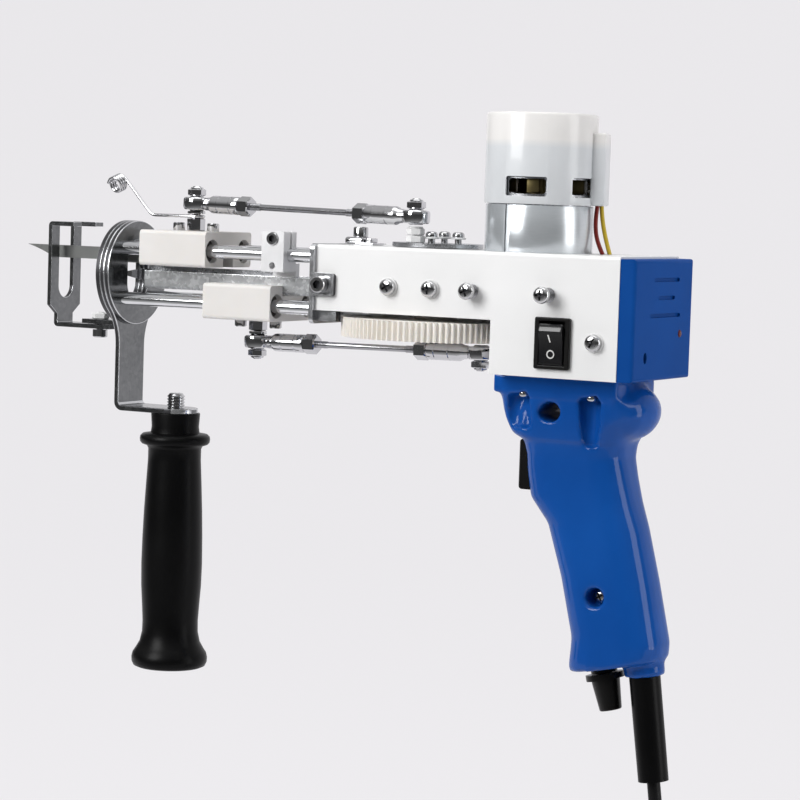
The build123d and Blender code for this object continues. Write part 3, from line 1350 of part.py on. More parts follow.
with BuildPart() as grip_blank:
    add(grip_body.part)
    with Locations(knob_plane):
        Box(10 * overrun, 10 * overrun, 2 * overrun, align=low, mode=Mode.SUBTRACT)
    with Locations(relief_plane):
        Cylinder(collar_radius, collar_depth, align=high)
        Cylinder(relief_neck + running, relief_neck_depth + lift, align=high, mode=Mode.SUBTRACT)
    block(grip_flange_front, grip_flange_rear, -grip_flange_half, grip_flange_half,
          grip_base_z, rear_bottom_z)
    scoops = [(flange_screw_front, scoop_front_height), (flange_screw_rear, scoop_rear_height)]
    for scoop_x, scoop_height in scoops:
        for side in (-1, 1):
            with Locations((scoop_x, side * flange_screw_side, grip_base_z)):
                Cone(scoop_low_radius, scoop_top_radius, scoop_height, align=high, mode=Mode.SUBTRACT)
                Cylinder(flange_screw_shank + running, overrun, mode=Mode.SUBTRACT)
    with Locations(facing(cross_hole_x, 0, cross_hole_z, (0, 1, 0))):
        Cylinder(cross_hole_radius, 4 * overrun, mode=Mode.SUBTRACT)
    with Locations(facing(grip_screw_x, 0, grip_screw_z, (0, 1, 0))):
        Cylinder(grip_screw_shank + running, 2 * grip_screw_sink, mode=Mode.SUBTRACT)
    for side in (-1, 1):
        with Locations(facing(grip_screw_x, side * grip_screw_sink, grip_screw_z, (0, side, 0))):
            Cylinder(grip_screw_recess, overrun, align=low, mode=Mode.SUBTRACT)
    block(pocket_back - overrun, pocket_back,
          -trigger_width / 2 - trigger_gap, trigger_width / 2 + trigger_gap,
          trigger_top_z - trigger_height - trigger_gap, trigger_top_z + trigger_gap, mode=Mode.SUBTRACT)
    block(pocket_back, pocket_back + switch_box_length, -switch_box_width / 2, switch_box_width / 2,
          switch_box_low, switch_box_high, mode=Mode.SUBTRACT)
    with Locations(knob_plane):
        Cylinder(bushing_radius + running, control_wall + lift, align=high, mode=Mode.SUBTRACT)
    with Locations(knob_plane.offset(-control_wall)):
        Cylinder(control_radius + running, control_depth, align=high, mode=Mode.SUBTRACT)

with BuildPart() as grip_left:
    add(grip_blank.part)
    block(-10 * overrun, 10 * overrun, -10 * overrun, 0, -10 * overrun, 10 * overrun, mode=Mode.INTERSECT)
grip_left.part.label = "grip_left"
export_step(grip_left.part, "parts/grip_left.step")

with BuildPart() as grip_right:
    add(grip_blank.part)
    block(-10 * overrun, 10 * overrun, 0, 10 * overrun, -10 * overrun, 10 * overrun, mode=Mode.INTERSECT)
grip_right.part.label = "grip_right"
export_step(grip_right.part, "parts/grip_right.step")

# The trigger slides back in its pocket onto the plunger of the switch behind it
trigger_edge = 2.5
plunger_reach = 3.6
with BuildPart() as trigger:
    block(trigger_front, trigger_back, -trigger_width / 2, trigger_width / 2,
          trigger_top_z - trigger_height, trigger_top_z)
    fillet(trigger.faces().sort_by(Axis.X)[0].edges(), trigger_edge)
    with Locations(facing(trigger_back, 0, (switch_box_low + switch_box_high) / 2, (-1, 0, 0))):
        Cylinder(plunger_radius + slide_gap, trigger_travel + lift, align=low, mode=Mode.SUBTRACT)
trigger.part.label = "trigger"
export_step(trigger.part, "parts/trigger.step")

with BuildPart() as trigger_switch:
    block(pocket_back, pocket_back + switch_box_length, -switch_box_width / 2, switch_box_width / 2,
          switch_box_low, switch_box_high)
    with Locations(facing(pocket_back, 0, (switch_box_low + switch_box_high) / 2, (-1, 0, 0))):
        Cylinder(plunger_radius, plunger_reach, align=low)
trigger_switch.part.label = "trigger_switch"
export_step(trigger_switch.part, "parts/trigger_switch.step")

# The speed control in the foot of the grip, and the knob on its shaft
control_nut_radius = 5.5
control_nut_height = 2.0
control_shaft = 3.0
shaft_depth = 7.0
knob_flange_radius = 8.0
knob_flange_height = 2.5
knob_wide_radius = 6.0
knob_narrow_radius = 4.6
knob_length = 13.0
knob_edge = 0.7
with BuildPart() as speed_control:
    with Locations(knob_plane):
        Cylinder(bushing_radius, control_wall, align=high)
        Cylinder(control_nut_radius, control_nut_height, align=low)
    with Locations(knob_plane.offset(-control_wall)):
        Cylinder(control_radius, control_depth, align=high)
    with Locations(knob_plane.offset(control_nut_height)):
        Cylinder(control_shaft + running, shaft_depth + lift, align=high, mode=Mode.SUBTRACT)
speed_control.part.label = "speed_control"
export_step(speed_control.part, "parts/speed_control.step")

with BuildPart() as speed_knob:
    with Locations(knob_plane.offset(control_nut_height + lift)):
        Cylinder(knob_flange_radius, knob_flange_height, align=low)
        Cylinder(control_shaft, shaft_depth, align=high)
    with Locations(knob_plane.offset(control_nut_height + lift + knob_flange_height)):
        Cone(knob_wide_radius, knob_narrow_radius, knob_length, align=low)
    fillet(speed_knob.edges().filter_by(GeomType.CIRCLE).sort_by(Axis.Z)[0], knob_edge)
speed_knob.part.label = "speed_knob"
export_step(speed_knob.part, "parts/speed_knob.step")

# The strain relief of the mains cord: a moulded sleeve whose neck is held in the grip's collar
relief_radius = 6.5
relief_end_radius = 6.3
cord_seat = 4.0
with BuildPart() as strain_relief:
    with Locations(relief_plane):
        Cylinder(relief_neck, relief_neck_depth, align=high)
        Cone(relief_radius, relief_end_radius, relief_length, align=low)
    with Locations(relief_plane.offset(relief_length)):
        Cylinder(cord_radius + running, cord_seat, align=high, mode=Mode.SUBTRACT)
strain_relief.part.label = "strain_relief"
export_step(strain_relief.part, "parts/strain_relief.step")

# Pan-head screws: in both sides of the housing, under the grip's flange and through the grip
flange_shank_length = grip_flange_height + sheet
side_washer_share = 0.75
flange_screw = pan_screw(flange_screw_radius, flange_screw_head, flange_screw_shank, flange_shank_length)
grip_screw = pan_screw(flange_screw_radius, flange_screw_head, grip_screw_shank,
                       2 * grip_screw_sink - nut_height)
side_screws = []
for x, z, stand in side_screw_places:
    with BuildPart() as side_screw:
        with Locations((0, 0, stand)):
            Cylinder(side_screw_radius, side_screw_head, align=low)
            head_rims = side_screw.edges().filter_by(GeomType.CIRCLE).sort_by(Axis.Z)
            fillet(head_rims[-1], side_screw_head * pan_share)
        Cylinder(side_screw_radius * side_washer_share, stand, align=low)
        Cylinder(side_shank, side_shank_length, align=high)
    side_screws.append((x, z, side_screw.part))
with BuildPart() as pan_screws:
    for x, z, screw_part in side_screws:
        with Locations(facing(x, -half_width, z, (0, -1, 0)), facing(x, half_width, z, (0, 1, 0))):
            add(screw_part)
    for screw_x in (flange_screw_front, flange_screw_rear):
        with Locations(facing(screw_x, -flange_screw_side, grip_base_z, (0, 0, -1)),
                       facing(screw_x, flange_screw_side, grip_base_z, (0, 0, -1))):
            add(flange_screw)
    with Locations(facing(grip_screw_x, -grip_screw_sink, grip_screw_z, (0, -1, 0))):
        add(grip_screw)
pan_screws.part.label = "pan_screws"
export_step(pan_screws.part, "parts/pan_screws.step")

# Socket-head screws: on the front plate, the clip, the rod clamp, the nose and the foot
foot_screw_radius = 3.4
foot_screw_head = 4.0
foot_nut_flats = 7.0
foot_nut_height = 3.2
foot_washer_gap = 0.15
foot_screw_length = foot_washer_gap + foot_sheet + slide_gap + foot_tab_thickness + foot_nut_height
foot_screw = socket_screw(foot_screw_radius, foot_screw_head, foot_screw_shank, foot_screw_length)
foot_nut = hexagon(foot_nut_flats, foot_nut_height, foot_screw_shank + running)
ear_screw = socket_screw(side_screw_radius, ear_screw_height, side_shank, front_thickness + sheet)
clip_screw = socket_screw(clip_screw_radius, clip_screw_height, clip_screw_shank,
                          clip_sheet + clip_rise + clip_screw_seat - lift)
nose_screw = socket_screw(nose_screw_radius, nose_screw_head, nose_screw_shank, 3 * plate + nose_screw_seat)
clamp_screw = socket_screw(clamp_screw_radius, clamp_screw_head, clamp_screw_shank, clamp_screw_length)
clip_seat_z = housing_top_z + clip_sheet + clip_rise
with BuildPart() as socket_screws:
    with Locations(facing(ear_screw_x, -half_width - front_thickness, axis_z, (0, -1, 0)),
                   facing(ear_screw_x, half_width + front_thickness, axis_z, (0, 1, 0))):
        add(ear_screw)
    with Locations((clip_screw_x, clip_y, clip_seat_z)):
        add(clip_screw)
    with Locations(facing(clamp_x, clamp_near + clamp_screw_sink, clamp_screw_z, (0, -1, 0))):
        add(clamp_screw)
    for rod_place_y, rod_place_z in rod_places:
        with Locations(facing(nose_front_x, rod_place_y, rod_place_z, (-1, 0, 0))):
            add(nose_screw)
    with Locations(facing(foot_slot_x, 0, foot_strap_z - foot_washer_gap, (0, 0, -1))):
        add(foot_screw)
    with Locations((foot_slot_x, 0, foot_tab_z + foot_tab_thickness)):
        add(foot_nut)
socket_screws.part.label = "socket_screws"
export_step(socket_screws.part, "parts/socket_screws.step")

# The mains cord leaves the strain relief, bends under the grip and runs into its put-away coil
run_length = 32.0
run_heading = (-sqrt(0.5), 0, -sqrt(0.5))
corner_share = 0.45
coil_lead = 6.0
coil_outer = 36.0
layer_step = 6.1
coil_start_angle = 0.75 * pi
coil_radius_shares = (1.0, 0.914, 0.828, 0.714, 0.714, 0.828, 0.914, 1.028,
                      1.028, 0.914, 0.8, 0.8, 0.914, 1.0, 1.11)
plug_lead = 30.0
cord_start = Vector(relief_end_x, 0, relief_end_z) - Vector(*relief_axis) * cord_seat
cord_bend = cord_start + Vector(*relief_axis) * run_length
cord_end = cord_bend + Vector(*run_heading) * run_length
bend_turn = acos(Vector(*relief_axis).dot(Vector(*run_heading)))
bend_radius_cord = corner_share * run_length / tan(bend_turn / 2)
with BuildPart() as mains_cord:
    with BuildLine() as cord_path:
        FilletPolyline(cord_start, cord_bend, cord_end, radius=bend_radius_cord)
    with BuildSketch(Plane(origin=cord_start, z_dir=relief_axis)):
        Circle(cord_radius)
    sweep(path=cord_path.wires()[0])
mains_cord.part.label = "mains_cord"
export_step(mains_cord.part, "parts/mains_cord.step")

# The coil: half turns that step in or out by half a pitch, with a climb to the next layer between
coil_entry = cord_end + Vector(*run_heading) * coil_lead
coil_x = coil_entry.X - coil_outer * cos(coil_start_angle)
coil_z = coil_entry.Z - coil_outer * sin(coil_start_angle)


def coil_point(angle, radius, layer):
    """A point of the coil's middle line from its angle, its radius and its layer."""
    return Vector(coil_x + radius * cos(angle), layer * layer_step, coil_z + radius * sin(angle))


with BuildPart() as cord_coil:
    with BuildLine() as coil_path:
        Line(cord_end, coil_entry)
        angle = coil_start_angle
        radius = coil_outer
        layer = 0
        for radius_share in coil_radius_shares[1:]:
            heading = Vector(-sin(angle), 0, cos(angle))
            next_radius = radius_share * coil_outer
            climbs = next_radius == radius
            next_layer = layer + 1 if climbs else layer
            here = coil_point(angle, radius, layer)
            there = coil_point(angle + pi, next_radius, next_layer)
            top = (here + there) / 2 + heading * ((there - here).length / 2)
            if climbs:
                chord = (top - here).normalized()
                TangentArc(here, top, tangent=heading)
                TangentArc(top, there, tangent=chord * (2 * heading.dot(chord)) - heading)
            else:
                ThreePointArc(here, top, there)
            angle = angle + pi
            radius = next_radius
            layer = next_layer
        last_point = coil_point(angle, radius, layer)
        exit_point = coil_point(angle + pi / 4, radius, layer)
        TangentArc(last_point, exit_point, tangent=(-sin(angle), 0, cos(angle)))
        plug_entry = exit_point - Vector(0, 0, plug_lead)
        Line(exit_point, plug_entry)
    with BuildSketch(Plane(origin=cord_end, z_dir=run_heading)):
        Circle(cord_radius)
    sweep(path=coil_path.wires()[0])
cord_coil.part.label = "cord_coil"
export_step(cord_coil.part, "parts/cord_coil.step")

# The coil's own clearance and the cord's length, from points along its middle line
coil_wire = coil_path.wires()[0]
coil_length = coil_wire.length
sample_step = 1.5
samples = [coil_wire.position_at(min(1, k * sample_step / coil_length))
           for k in range(int(coil_length / sample_step) + 1)]
far_apart_share = 8
far_apart = int(far_apart_share * cord_radius / sample_step)
least_gap = min((samples[i] - samples[j]).length for i in range(len(samples))
                for j in range(i + far_apart, len(samples))) - 2 * cord_radius
print("cord bend radius", round(bend_radius_cord, 2), "turn", round(degrees(bend_turn), 1))
print("coil radii", round(coil_outer * min(coil_radius_shares), 1), "to", round(radius, 1),
      "least self-gap", round(least_gap, 2))
cord_length = cord_path.wires()[0].length
section = pi * cord_radius ** 2
cord_ratio = mains_cord.part.volume / section / cord_length
coil_ratio = cord_coil.part.volume / section / coil_length
print("cord length", round(cord_length, 1), "volume ratio", round(cord_ratio, 4))
print("coil length", round(coil_length, 1), "volume ratio", round(coil_ratio, 4))

# The tie round the top of the coil
tie_width = 8.0
tie_thickness = 1.2
tie_gap = 0.2
tie_points = [point for point in samples if abs(point.X - coil_x) < tie_width / 2 and point.Z > coil_z]
tie_low = min(point.Z for point in tie_points) - cord_radius - tie_gap
tie_high = max(point.Z for point in tie_points) + cord_radius + tie_gap
tie_near = -cord_radius - tie_gap
tie_far = max(point.Y for point in tie_points) + cord_radius + tie_gap
with BuildPart() as cord_tie:
    with BuildSketch(Plane.YZ.offset(coil_x - tie_width / 2)):
        with Locations(((tie_near + tie_far) / 2, (tie_low + tie_high) / 2)):
            RectangleRounded(tie_far - tie_near + 2 * tie_thickness, tie_high - tie_low + 2 * tie_thickness,
                             cord_radius / 2 + tie_thickness)
            RectangleRounded(tie_far - tie_near, tie_high - tie_low, cord_radius / 2, mode=Mode.SUBTRACT)
    extrude(amount=tie_width)
cord_tie.part.label = "cord_tie"
export_step(cord_tie.part, "parts/cord_tie.step")

# The moulded plug on the cord's end: a tapered body with two round pins
plug_length = 35.0
plug_wide = 35.0
plug_middle_share = 0.7
plug_end_share = 0.8
plug_depth = 13.7
plug_pin_radius = 2.0
plug_pin_span = 18.6
plug_pin_length = 19.0
plug_pin_seat = 8.0
plug_neck = 11.0
plug_seat = 5.0
plug_edge = 3.0
plug_plane = Plane(origin=plug_entry + Vector(0, 0, plug_seat), x_dir=(1, 0, 0), z_dir=(0, 0, -1))
with BuildPart() as plug_body:
    with BuildSketch(plug_plane):
        RectangleRounded(plug_neck, plug_neck, plug_edge)
    with BuildSketch(plug_plane.offset(plug_length / 2)):
        RectangleRounded(plug_middle_share * plug_wide, plug_depth, plug_edge)
    with BuildSketch(plug_plane.offset(plug_length)):
        RectangleRounded(plug_end_share * plug_wide, plug_depth, plug_edge)
    loft(ruled=True)
    with Locations(plug_plane):
        Cylinder(cord_radius + running, plug_seat, align=low, mode=Mode.SUBTRACT)
    with Locations(plug_plane.offset(plug_length)):
        with GridLocations(plug_pin_span, 1, 2, 1):
            Cylinder(plug_pin_radius + running, plug_pin_seat, align=high, mode=Mode.SUBTRACT)
with BuildPart() as mains_plug:
    add(plug_body.part)
    with Locations(plug_plane.offset(plug_length - plug_pin_seat + running)):
        with GridLocations(plug_pin_span, 1, 2, 1):
            Cylinder(plug_pin_radius, plug_pin_seat + plug_pin_length, align=low)
mains_plug.part.label = "mains_plug"
export_step(mains_plug.part, "parts/mains_plug.step")
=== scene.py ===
import json
import math

import bmesh
import bpy
from mathutils import Matrix, Vector

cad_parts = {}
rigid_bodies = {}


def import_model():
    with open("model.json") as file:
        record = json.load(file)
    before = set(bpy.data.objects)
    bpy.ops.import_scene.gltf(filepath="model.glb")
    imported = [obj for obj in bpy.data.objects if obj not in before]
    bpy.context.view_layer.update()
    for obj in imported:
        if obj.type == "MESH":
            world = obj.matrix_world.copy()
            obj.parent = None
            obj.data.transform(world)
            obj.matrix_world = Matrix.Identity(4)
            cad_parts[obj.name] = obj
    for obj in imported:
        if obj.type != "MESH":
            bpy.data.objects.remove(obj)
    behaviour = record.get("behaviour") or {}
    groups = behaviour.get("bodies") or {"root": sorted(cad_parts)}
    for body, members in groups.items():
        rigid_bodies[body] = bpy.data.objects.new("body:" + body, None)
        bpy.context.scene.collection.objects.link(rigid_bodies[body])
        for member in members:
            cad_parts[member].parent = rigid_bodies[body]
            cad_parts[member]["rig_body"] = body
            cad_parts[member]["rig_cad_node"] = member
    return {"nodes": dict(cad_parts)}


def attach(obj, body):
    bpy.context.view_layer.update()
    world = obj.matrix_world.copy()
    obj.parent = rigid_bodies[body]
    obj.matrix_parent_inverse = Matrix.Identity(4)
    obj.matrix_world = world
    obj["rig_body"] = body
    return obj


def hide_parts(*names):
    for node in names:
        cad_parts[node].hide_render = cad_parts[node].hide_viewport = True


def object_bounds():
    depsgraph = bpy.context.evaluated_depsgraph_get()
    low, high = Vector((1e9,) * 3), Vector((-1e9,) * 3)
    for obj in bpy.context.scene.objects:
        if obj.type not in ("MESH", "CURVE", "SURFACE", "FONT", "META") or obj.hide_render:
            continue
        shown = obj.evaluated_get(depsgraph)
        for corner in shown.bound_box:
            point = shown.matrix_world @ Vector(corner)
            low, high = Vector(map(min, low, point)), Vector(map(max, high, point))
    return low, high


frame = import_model()
nodes = frame["nodes"]
mm = 0.001
merge_reach = 0.002 * mm


def corners(pair):
    """Two corners as plain lists of numbers."""
    return [[float(v) for v in corner] for corner in pair]


cad_box = corners(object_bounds())


# Shader building: a socket that takes part in sums, and one method for every other node
class Value:
    """A socket of a shader that can be added and multiplied like a number."""

    def __init__(self, shader, socket):
        self.shader = shader
        self.socket = socket

    def joined(self, operation, *others):
        return self.shader.node("ShaderNodeMath", {"operation": operation}, *others)

    def __add__(self, other):
        return self.joined("ADD", self, other)

    def __radd__(self, other):
        return self.joined("ADD", other, self)

    def __sub__(self, other):
        return self.joined("SUBTRACT", self, other)

    def __rsub__(self, other):
        return self.joined("SUBTRACT", other, self)

    def __mul__(self, other):
        return self.joined("MULTIPLY", self, other)

    def __rmul__(self, other):
        return self.joined("MULTIPLY", other, self)


class Shading:
    """A tree of shader nodes that is filled from plain values or sockets."""

    def __init__(self, tree):
        self.tree = tree

    def put(self, socket, value):
        if isinstance(value, Value):
            self.tree.links.new(value.socket, socket)
        elif isinstance(value, tuple) and len(value) == 3 and socket.type == "RGBA":
            socket.default_value = (*value, 1)
        else:
            socket.default_value = value

    def node(self, kind, settings=None, *inputs, out=0, **named):
        """A node of any kind: its settings first, then its inputs by place or by name."""
        made = self.tree.nodes.new(kind)
        for key, value in (settings or {}).items():
            if key == "stops":
                ramp = made.color_ramp
                while len(ramp.elements) < len(value):
                    ramp.elements.new(0.5)
                for element, (place, colour) in zip(ramp.elements, value):
                    element.position = place
                    element.color = (*(colour if isinstance(colour, tuple) else 3 * (colour,)), 1)
            else:
                setattr(made, key, value)
        for place, value in enumerate(inputs):
            if value is not None:
                self.put(made.inputs[place], value)
        for key, value in named.items():
            self.put(made.inputs[key.replace("_", " ")], value)
        return Value(self, made.outputs[out])


class Finish(Shading):
    """A material: its Principled shader with the textures that feed it."""

    def __init__(self, name):
        self.material = bpy.data.materials.new(name)
        self.material.use_nodes = True
        super().__init__(self.material.node_tree)
        self.shader = self.tree.nodes["Principled BSDF"]

    def place(self, stretch=(1, 1, 1)):
        """The object's own coordinates, stretched."""
        own = self.node("ShaderNodeTexCoord", out=3)
        return self.node("ShaderNodeMapping", {}, Vector=own, Scale=stretch)

    def axis(self, number):
        """One of the object's own coordinates, in millimetres."""
        return self.node("ShaderNodeSeparateXYZ", {}, self.place(), out=number) * (1 / mm)

    def around(self, aside, level):
        """The square of the distance from a line, in square millimetres."""
        return aside * aside + level * level

    def noise(self, scale, detail=3.0, stretch=(1, 1, 1)):
        """Fractal noise in the object's coordinates."""
        return self.node("ShaderNodeTexNoise", {}, Vector=self.place(stretch), Scale=scale, Detail=detail)

    def ramp(self, factor, *stops):
        """A colour or a number that follows a factor through a few stops."""
        return self.node("ShaderNodeValToRGB", {"stops": stops}, factor)

    def mix(self, factor, first, second):
        """Two colours mixed by a factor."""
        made = self.node("ShaderNodeMix", {"data_type": "RGBA"}, out=2)
        mixer = made.socket.node
        self.put(mixer.inputs[0], factor)
        self.put(mixer.inputs[6], first)
        self.put(mixer.inputs[7], second)
        return made

    def bump(self, height, strength):
        """A surface normal from a height."""
        return self.node("ShaderNodeBump", {}, Strength=strength, Distance=0.2 * mm, Height=height)

    def surface(self, **values):
        """Fills the Principled shader and gives back the material."""
        for key, value in values.items():
            self.put(self.shader.inputs[key.replace("_", " ")], value)
        return self.material


def zinc_sheet(name, low, high, roughness, metallic=0.96):
    """Zinc-plated sheet: a soft grey with spangles and faint rolling marks."""
    look = Finish(name)
    spangle = look.node("ShaderNodeTexVoronoi", {"feature": "F1"}, Vector=look.place(), Scale=700.0, out=1)
    spangle_grey = look.node("ShaderNodeRGBToBW", {}, spangle)
    cloud = look.noise(60.0, 4.0)
    lines = look.noise(900.0, 2.0, (1, 1, 0.06))
    tone = look.ramp(cloud * 0.7 + spangle_grey * 0.3, (0.25, low), (0.75, high))
    return look.surface(Base_Color=tone, Metallic=metallic,
                        Roughness=roughness + 0.08 * spangle_grey + 0.05 * cloud,
                        Normal=look.bump(lines + spangle_grey * 0.4, 0.07))


def white_coat():
    """White powder coat with a very fine orange peel."""
    look = Finish("white_coat")
    peel = look.noise(1500.0, 2.0)
    cloud = look.noise(18.0)
    tone = look.ramp(cloud, (0.3, (0.80, 0.80, 0.80)), (0.7, (0.86, 0.86, 0.86)))
    return look.surface(Base_Color=tone, Roughness=0.34 + 0.1 * cloud, Normal=look.bump(peel, 0.12),
                        Coat_Weight=0.25, Coat_Roughness=0.12)


def bright_plate(name, tone, roughness, stretch=(1, 1, 1), metallic=1.0):
    """Bright plated or ground steel with faint marks."""
    look = Finish(name)
    marks = look.noise(900.0, stretch=stretch)
    cloud = look.noise(70.0)
    low = tuple(0.86 * c for c in tone)
    colour = look.ramp(cloud, (0.3, low), (0.7, tone))
    return look.surface(Base_Color=colour, Metallic=metallic, Roughness=roughness + 0.12 * marks * cloud,
                        Normal=look.bump(marks, 0.05))


def grip_plastic():
    """Glossy blue plastic of the grip, with shade painted near black down in the cross hole."""
    look = Finish("grip_plastic")
    cloud = look.noise(25.0)
    grain = look.noise(1400.0)
    # painted shade: the walls of the cross hole turn near black
    near = look.around(look.axis(0) - cross_hole_x, look.axis(2) - cross_hole_z)
    hole_shade_mask = look.ramp(near * 0.05, (0.76, 1.0), (0.84, 0.0))
    tone = look.ramp(cloud, (0.3, (0.004, 0.064, 0.300)), (0.7, (0.006, 0.080, 0.355)))
    return look.surface(Base_Color=look.mix(hole_shade_mask, tone, (0.001, 0.004, 0.014)), Roughness=0.34 + 0.1 * cloud,
                        Coat_Weight=0.4, Coat_Roughness=0.05, Specular_IOR_Level=0.02,
                        Normal=look.bump(grain, 0.03))


def ring_steel():
    """The flux ring: dull plated steel, drawn round its axis."""
    look = Finish("ring_steel")
    lines = look.noise(500.0, stretch=(0.4, 0.4, 6))
    cloud = look.noise(50.0)
    tone = look.ramp(cloud * 0.7 + lines * 0.3, (0.3, (0.54, 0.575, 0.605)), (0.7, (0.66, 0.69, 0.715)))
    return look.surface(Base_Color=tone, Metallic=0.6, Roughness=0.2 + 0.08 * cloud,
                        Normal=look.bump(lines, 0.05))


def milky_plastic():
    """Milky plastic of the fan cover: painted shade makes it greyer where the motor's can stands behind it,
    and painted light makes it warm white above.
    """
    look = Finish("milky_plastic")
    cloud = look.noise(45.0)
    # painted light and shade: warm white where light comes through above the can's top, grey where the can
    # shades it
    above = look.ramp((look.axis(2) - can_top + cloud * 0.8) * 0.3, (0.0, 0.0), (1.0, 1.0))
    behind = look.ramp(cloud, (0.35, (0.65, 0.67, 0.69)), (0.65, (0.69, 0.71, 0.73)))
    clear = look.ramp(cloud, (0.35, (0.78, 0.765, 0.75)), (0.65, (0.82, 0.805, 0.79)))
    grain = look.noise(1200.0, 2.0)
    return look.surface(Base_Color=look.mix(above, behind, clear), Roughness=0.26 + 0.08 * cloud,
                        Coat_Weight=0.3, Coat_Roughness=0.06, Specular_IOR_Level=0.35,
                        Normal=look.bump(grain, 0.03))


def nylon(name, low, high, rod_shade_at=None):
    """Machined natural nylon: warm white, waxy, with faint cutter lines, and with shade painted dark round
    its rods.
    """
    look = Finish(name)
    lines = look.noise(700.0, 2.0, (1, 1, 0.1))
    cloud = look.noise(30.0)
    tone = look.ramp(cloud, (0.3, low), (0.7, high))
    if rod_shade_at:
        across = look.axis(1)
        aside = across.joined("ABSOLUTE", across) - rod_aside
        near = look.around(aside, look.axis(2) - rod_shade_at) + cloud * 3.0
        # painted shade: a dark ring round each rod, standing for the shade in its bore
        rod_shade_mask = look.ramp(near * 0.03, (0.74, 1.0), (0.86, 0.0))
        tone = look.mix(rod_shade_mask, tone, (0.035, 0.028, 0.022))
    return look.surface(Base_Color=tone, Roughness=0.42 + 0.12 * cloud,
                        Subsurface_Weight=0.12, Subsurface_Radius=(0.004, 0.003, 0.002),
                        Normal=look.bump(lines, 0.08))


def moulded(name, low, high, roughness, grain, strength=0.1, coat=0.0, gloss=0.5):
    """Moulded plastic with a fine grain and slight colour drift."""
    look = Finish(name)
    texture = look.noise(grain)
    cloud = look.noise(25.0)
    return look.surface(Base_Color=look.ramp(cloud, (0.3, low), (0.7, high)),
                        Roughness=roughness + 0.1 * cloud,
                        Coat_Weight=coat, Coat_Roughness=0.08, Specular_IOR_Level=gloss,
                        Normal=look.bump(texture, strength))


cross_hole_x, cross_hole_z = -16.3, 50.4
rod_aside = 13
upper_rods_z, lower_rods_z = 109.5, 86.9
can_top = 158.4
finishes = {
    "zinc": zinc_sheet("zinc_sheet", (0.15, 0.155, 0.16), (0.24, 0.245, 0.25), 0.12),
    "zinc_light": zinc_sheet("spangled_zinc", (0.42, 0.43, 0.44), (0.66, 0.67, 0.68), 0.2, 0.6),
    "white": white_coat(),
    "bright": bright_plate("bright_steel", (0.82, 0.82, 0.83), 0.07),
    "rod": bright_plate("ground_rod", (0.80, 0.81, 0.83), 0.05, (0.05, 1, 1)),
    "screw": bright_plate("screw_zinc", (0.60, 0.60, 0.61), 0.1),
    "grey_steel": bright_plate("grey_steel", (0.50, 0.51, 0.53), 0.24),
    "aluminium": bright_plate("clamp_aluminium", (0.80, 0.80, 0.81), 0.3, metallic=0.4),
    "needle": bright_plate("needle_steel", (0.22, 0.225, 0.22), 0.3, metallic=0.5),
    "chrome": bright_plate("link_chrome", (0.66, 0.66, 0.68), 0.06),
    "dark_rod": bright_plate("link_rod_steel", (0.42, 0.42, 0.44), 0.16),
    "flux": ring_steel(),
    "leads_red": moulded("red_lead", (0.15, 0.006, 0.005), (0.22, 0.014, 0.008),
                         0.35, 900.0, 0.05, 0.2, 0.3),
    "leads_yellow": moulded("yellow_lead", (0.50, 0.36, 0.02), (0.60, 0.44, 0.04),
                            0.35, 900.0, 0.05, 0.2, 0.3),
    "brass": bright_plate("armature_brass", (0.16, 0.13, 0.06), 0.4),
    "zinc_bright": zinc_sheet("bright_zinc_sheet", (0.48, 0.49, 0.51), (0.72, 0.73, 0.75), 0.14),
    "gloss_black": moulded("gloss_black", (0.005, 0.005, 0.006), (0.010, 0.010, 0.011),
                           0.14, 1200.0, 0.03, 0.3, 0.3),
    "mark_white": moulded("mark_white", (0.62, 0.62, 0.60), (0.72, 0.72, 0.70), 0.4, 900.0, 0.03),
    "upper_nylon": nylon("upper_nylon", (0.68, 0.655, 0.63), (0.74, 0.72, 0.70), upper_rods_z),
    "lower_nylon": nylon("lower_nylon", (0.68, 0.655, 0.63), (0.74, 0.72, 0.70), lower_rods_z),
    "gear": nylon("gear_nylon", (0.84, 0.80, 0.74), (0.90, 0.87, 0.82)),
    "blue": grip_plastic(),
    "cap_blue": moulded("cap_blue", (0.004, 0.054, 0.250), (0.006, 0.068, 0.300),
                        0.42, 1400.0, 0.06, 0.04, 0.02),
    "rubber": moulded("black_rubber", (0.002, 0.002, 0.0022), (0.004, 0.004, 0.0042),
                      0.3, 900.0, 0.1, 0.0, 0.1),
    "black": moulded("black_plastic", (0.004, 0.004, 0.004), (0.008, 0.0075, 0.0075),
                     0.24, 1200.0, 0.05, 0.1, 0.15),
    "cut_edge": bright_plate("cut_edge", (0.07, 0.07, 0.075), 0.3, metallic=0.8),
    # painted shade: the near-black finish laid in the recesses of screw heads
    "recess": bright_plate("screw_recess_shade", (0.05, 0.05, 0.055), 0.35, metallic=0.8),
    # painted highlight: the bright finish laid on the eased rims of sheet
    "rim": bright_plate("rim_painted_highlight", (0.72, 0.73, 0.75), 0.2, metallic=0.9),
    "milky": milky_plastic(),
    "lens": moulded("red_lens", (0.07, 0.004, 0.005), (0.11, 0.007, 0.008), 0.2, 900.0, 0.03, 0.1, 0.2),
    "board": moulded("green_board", (0.02, 0.12, 0.05), (0.03, 0.18, 0.07), 0.4, 600.0),
    "cord": moulded("cord_cover", (0.004, 0.004, 0.0045), (0.008, 0.008, 0.0085),
                    0.36, 700.0, 0.1, 0.0, 0.15),
}

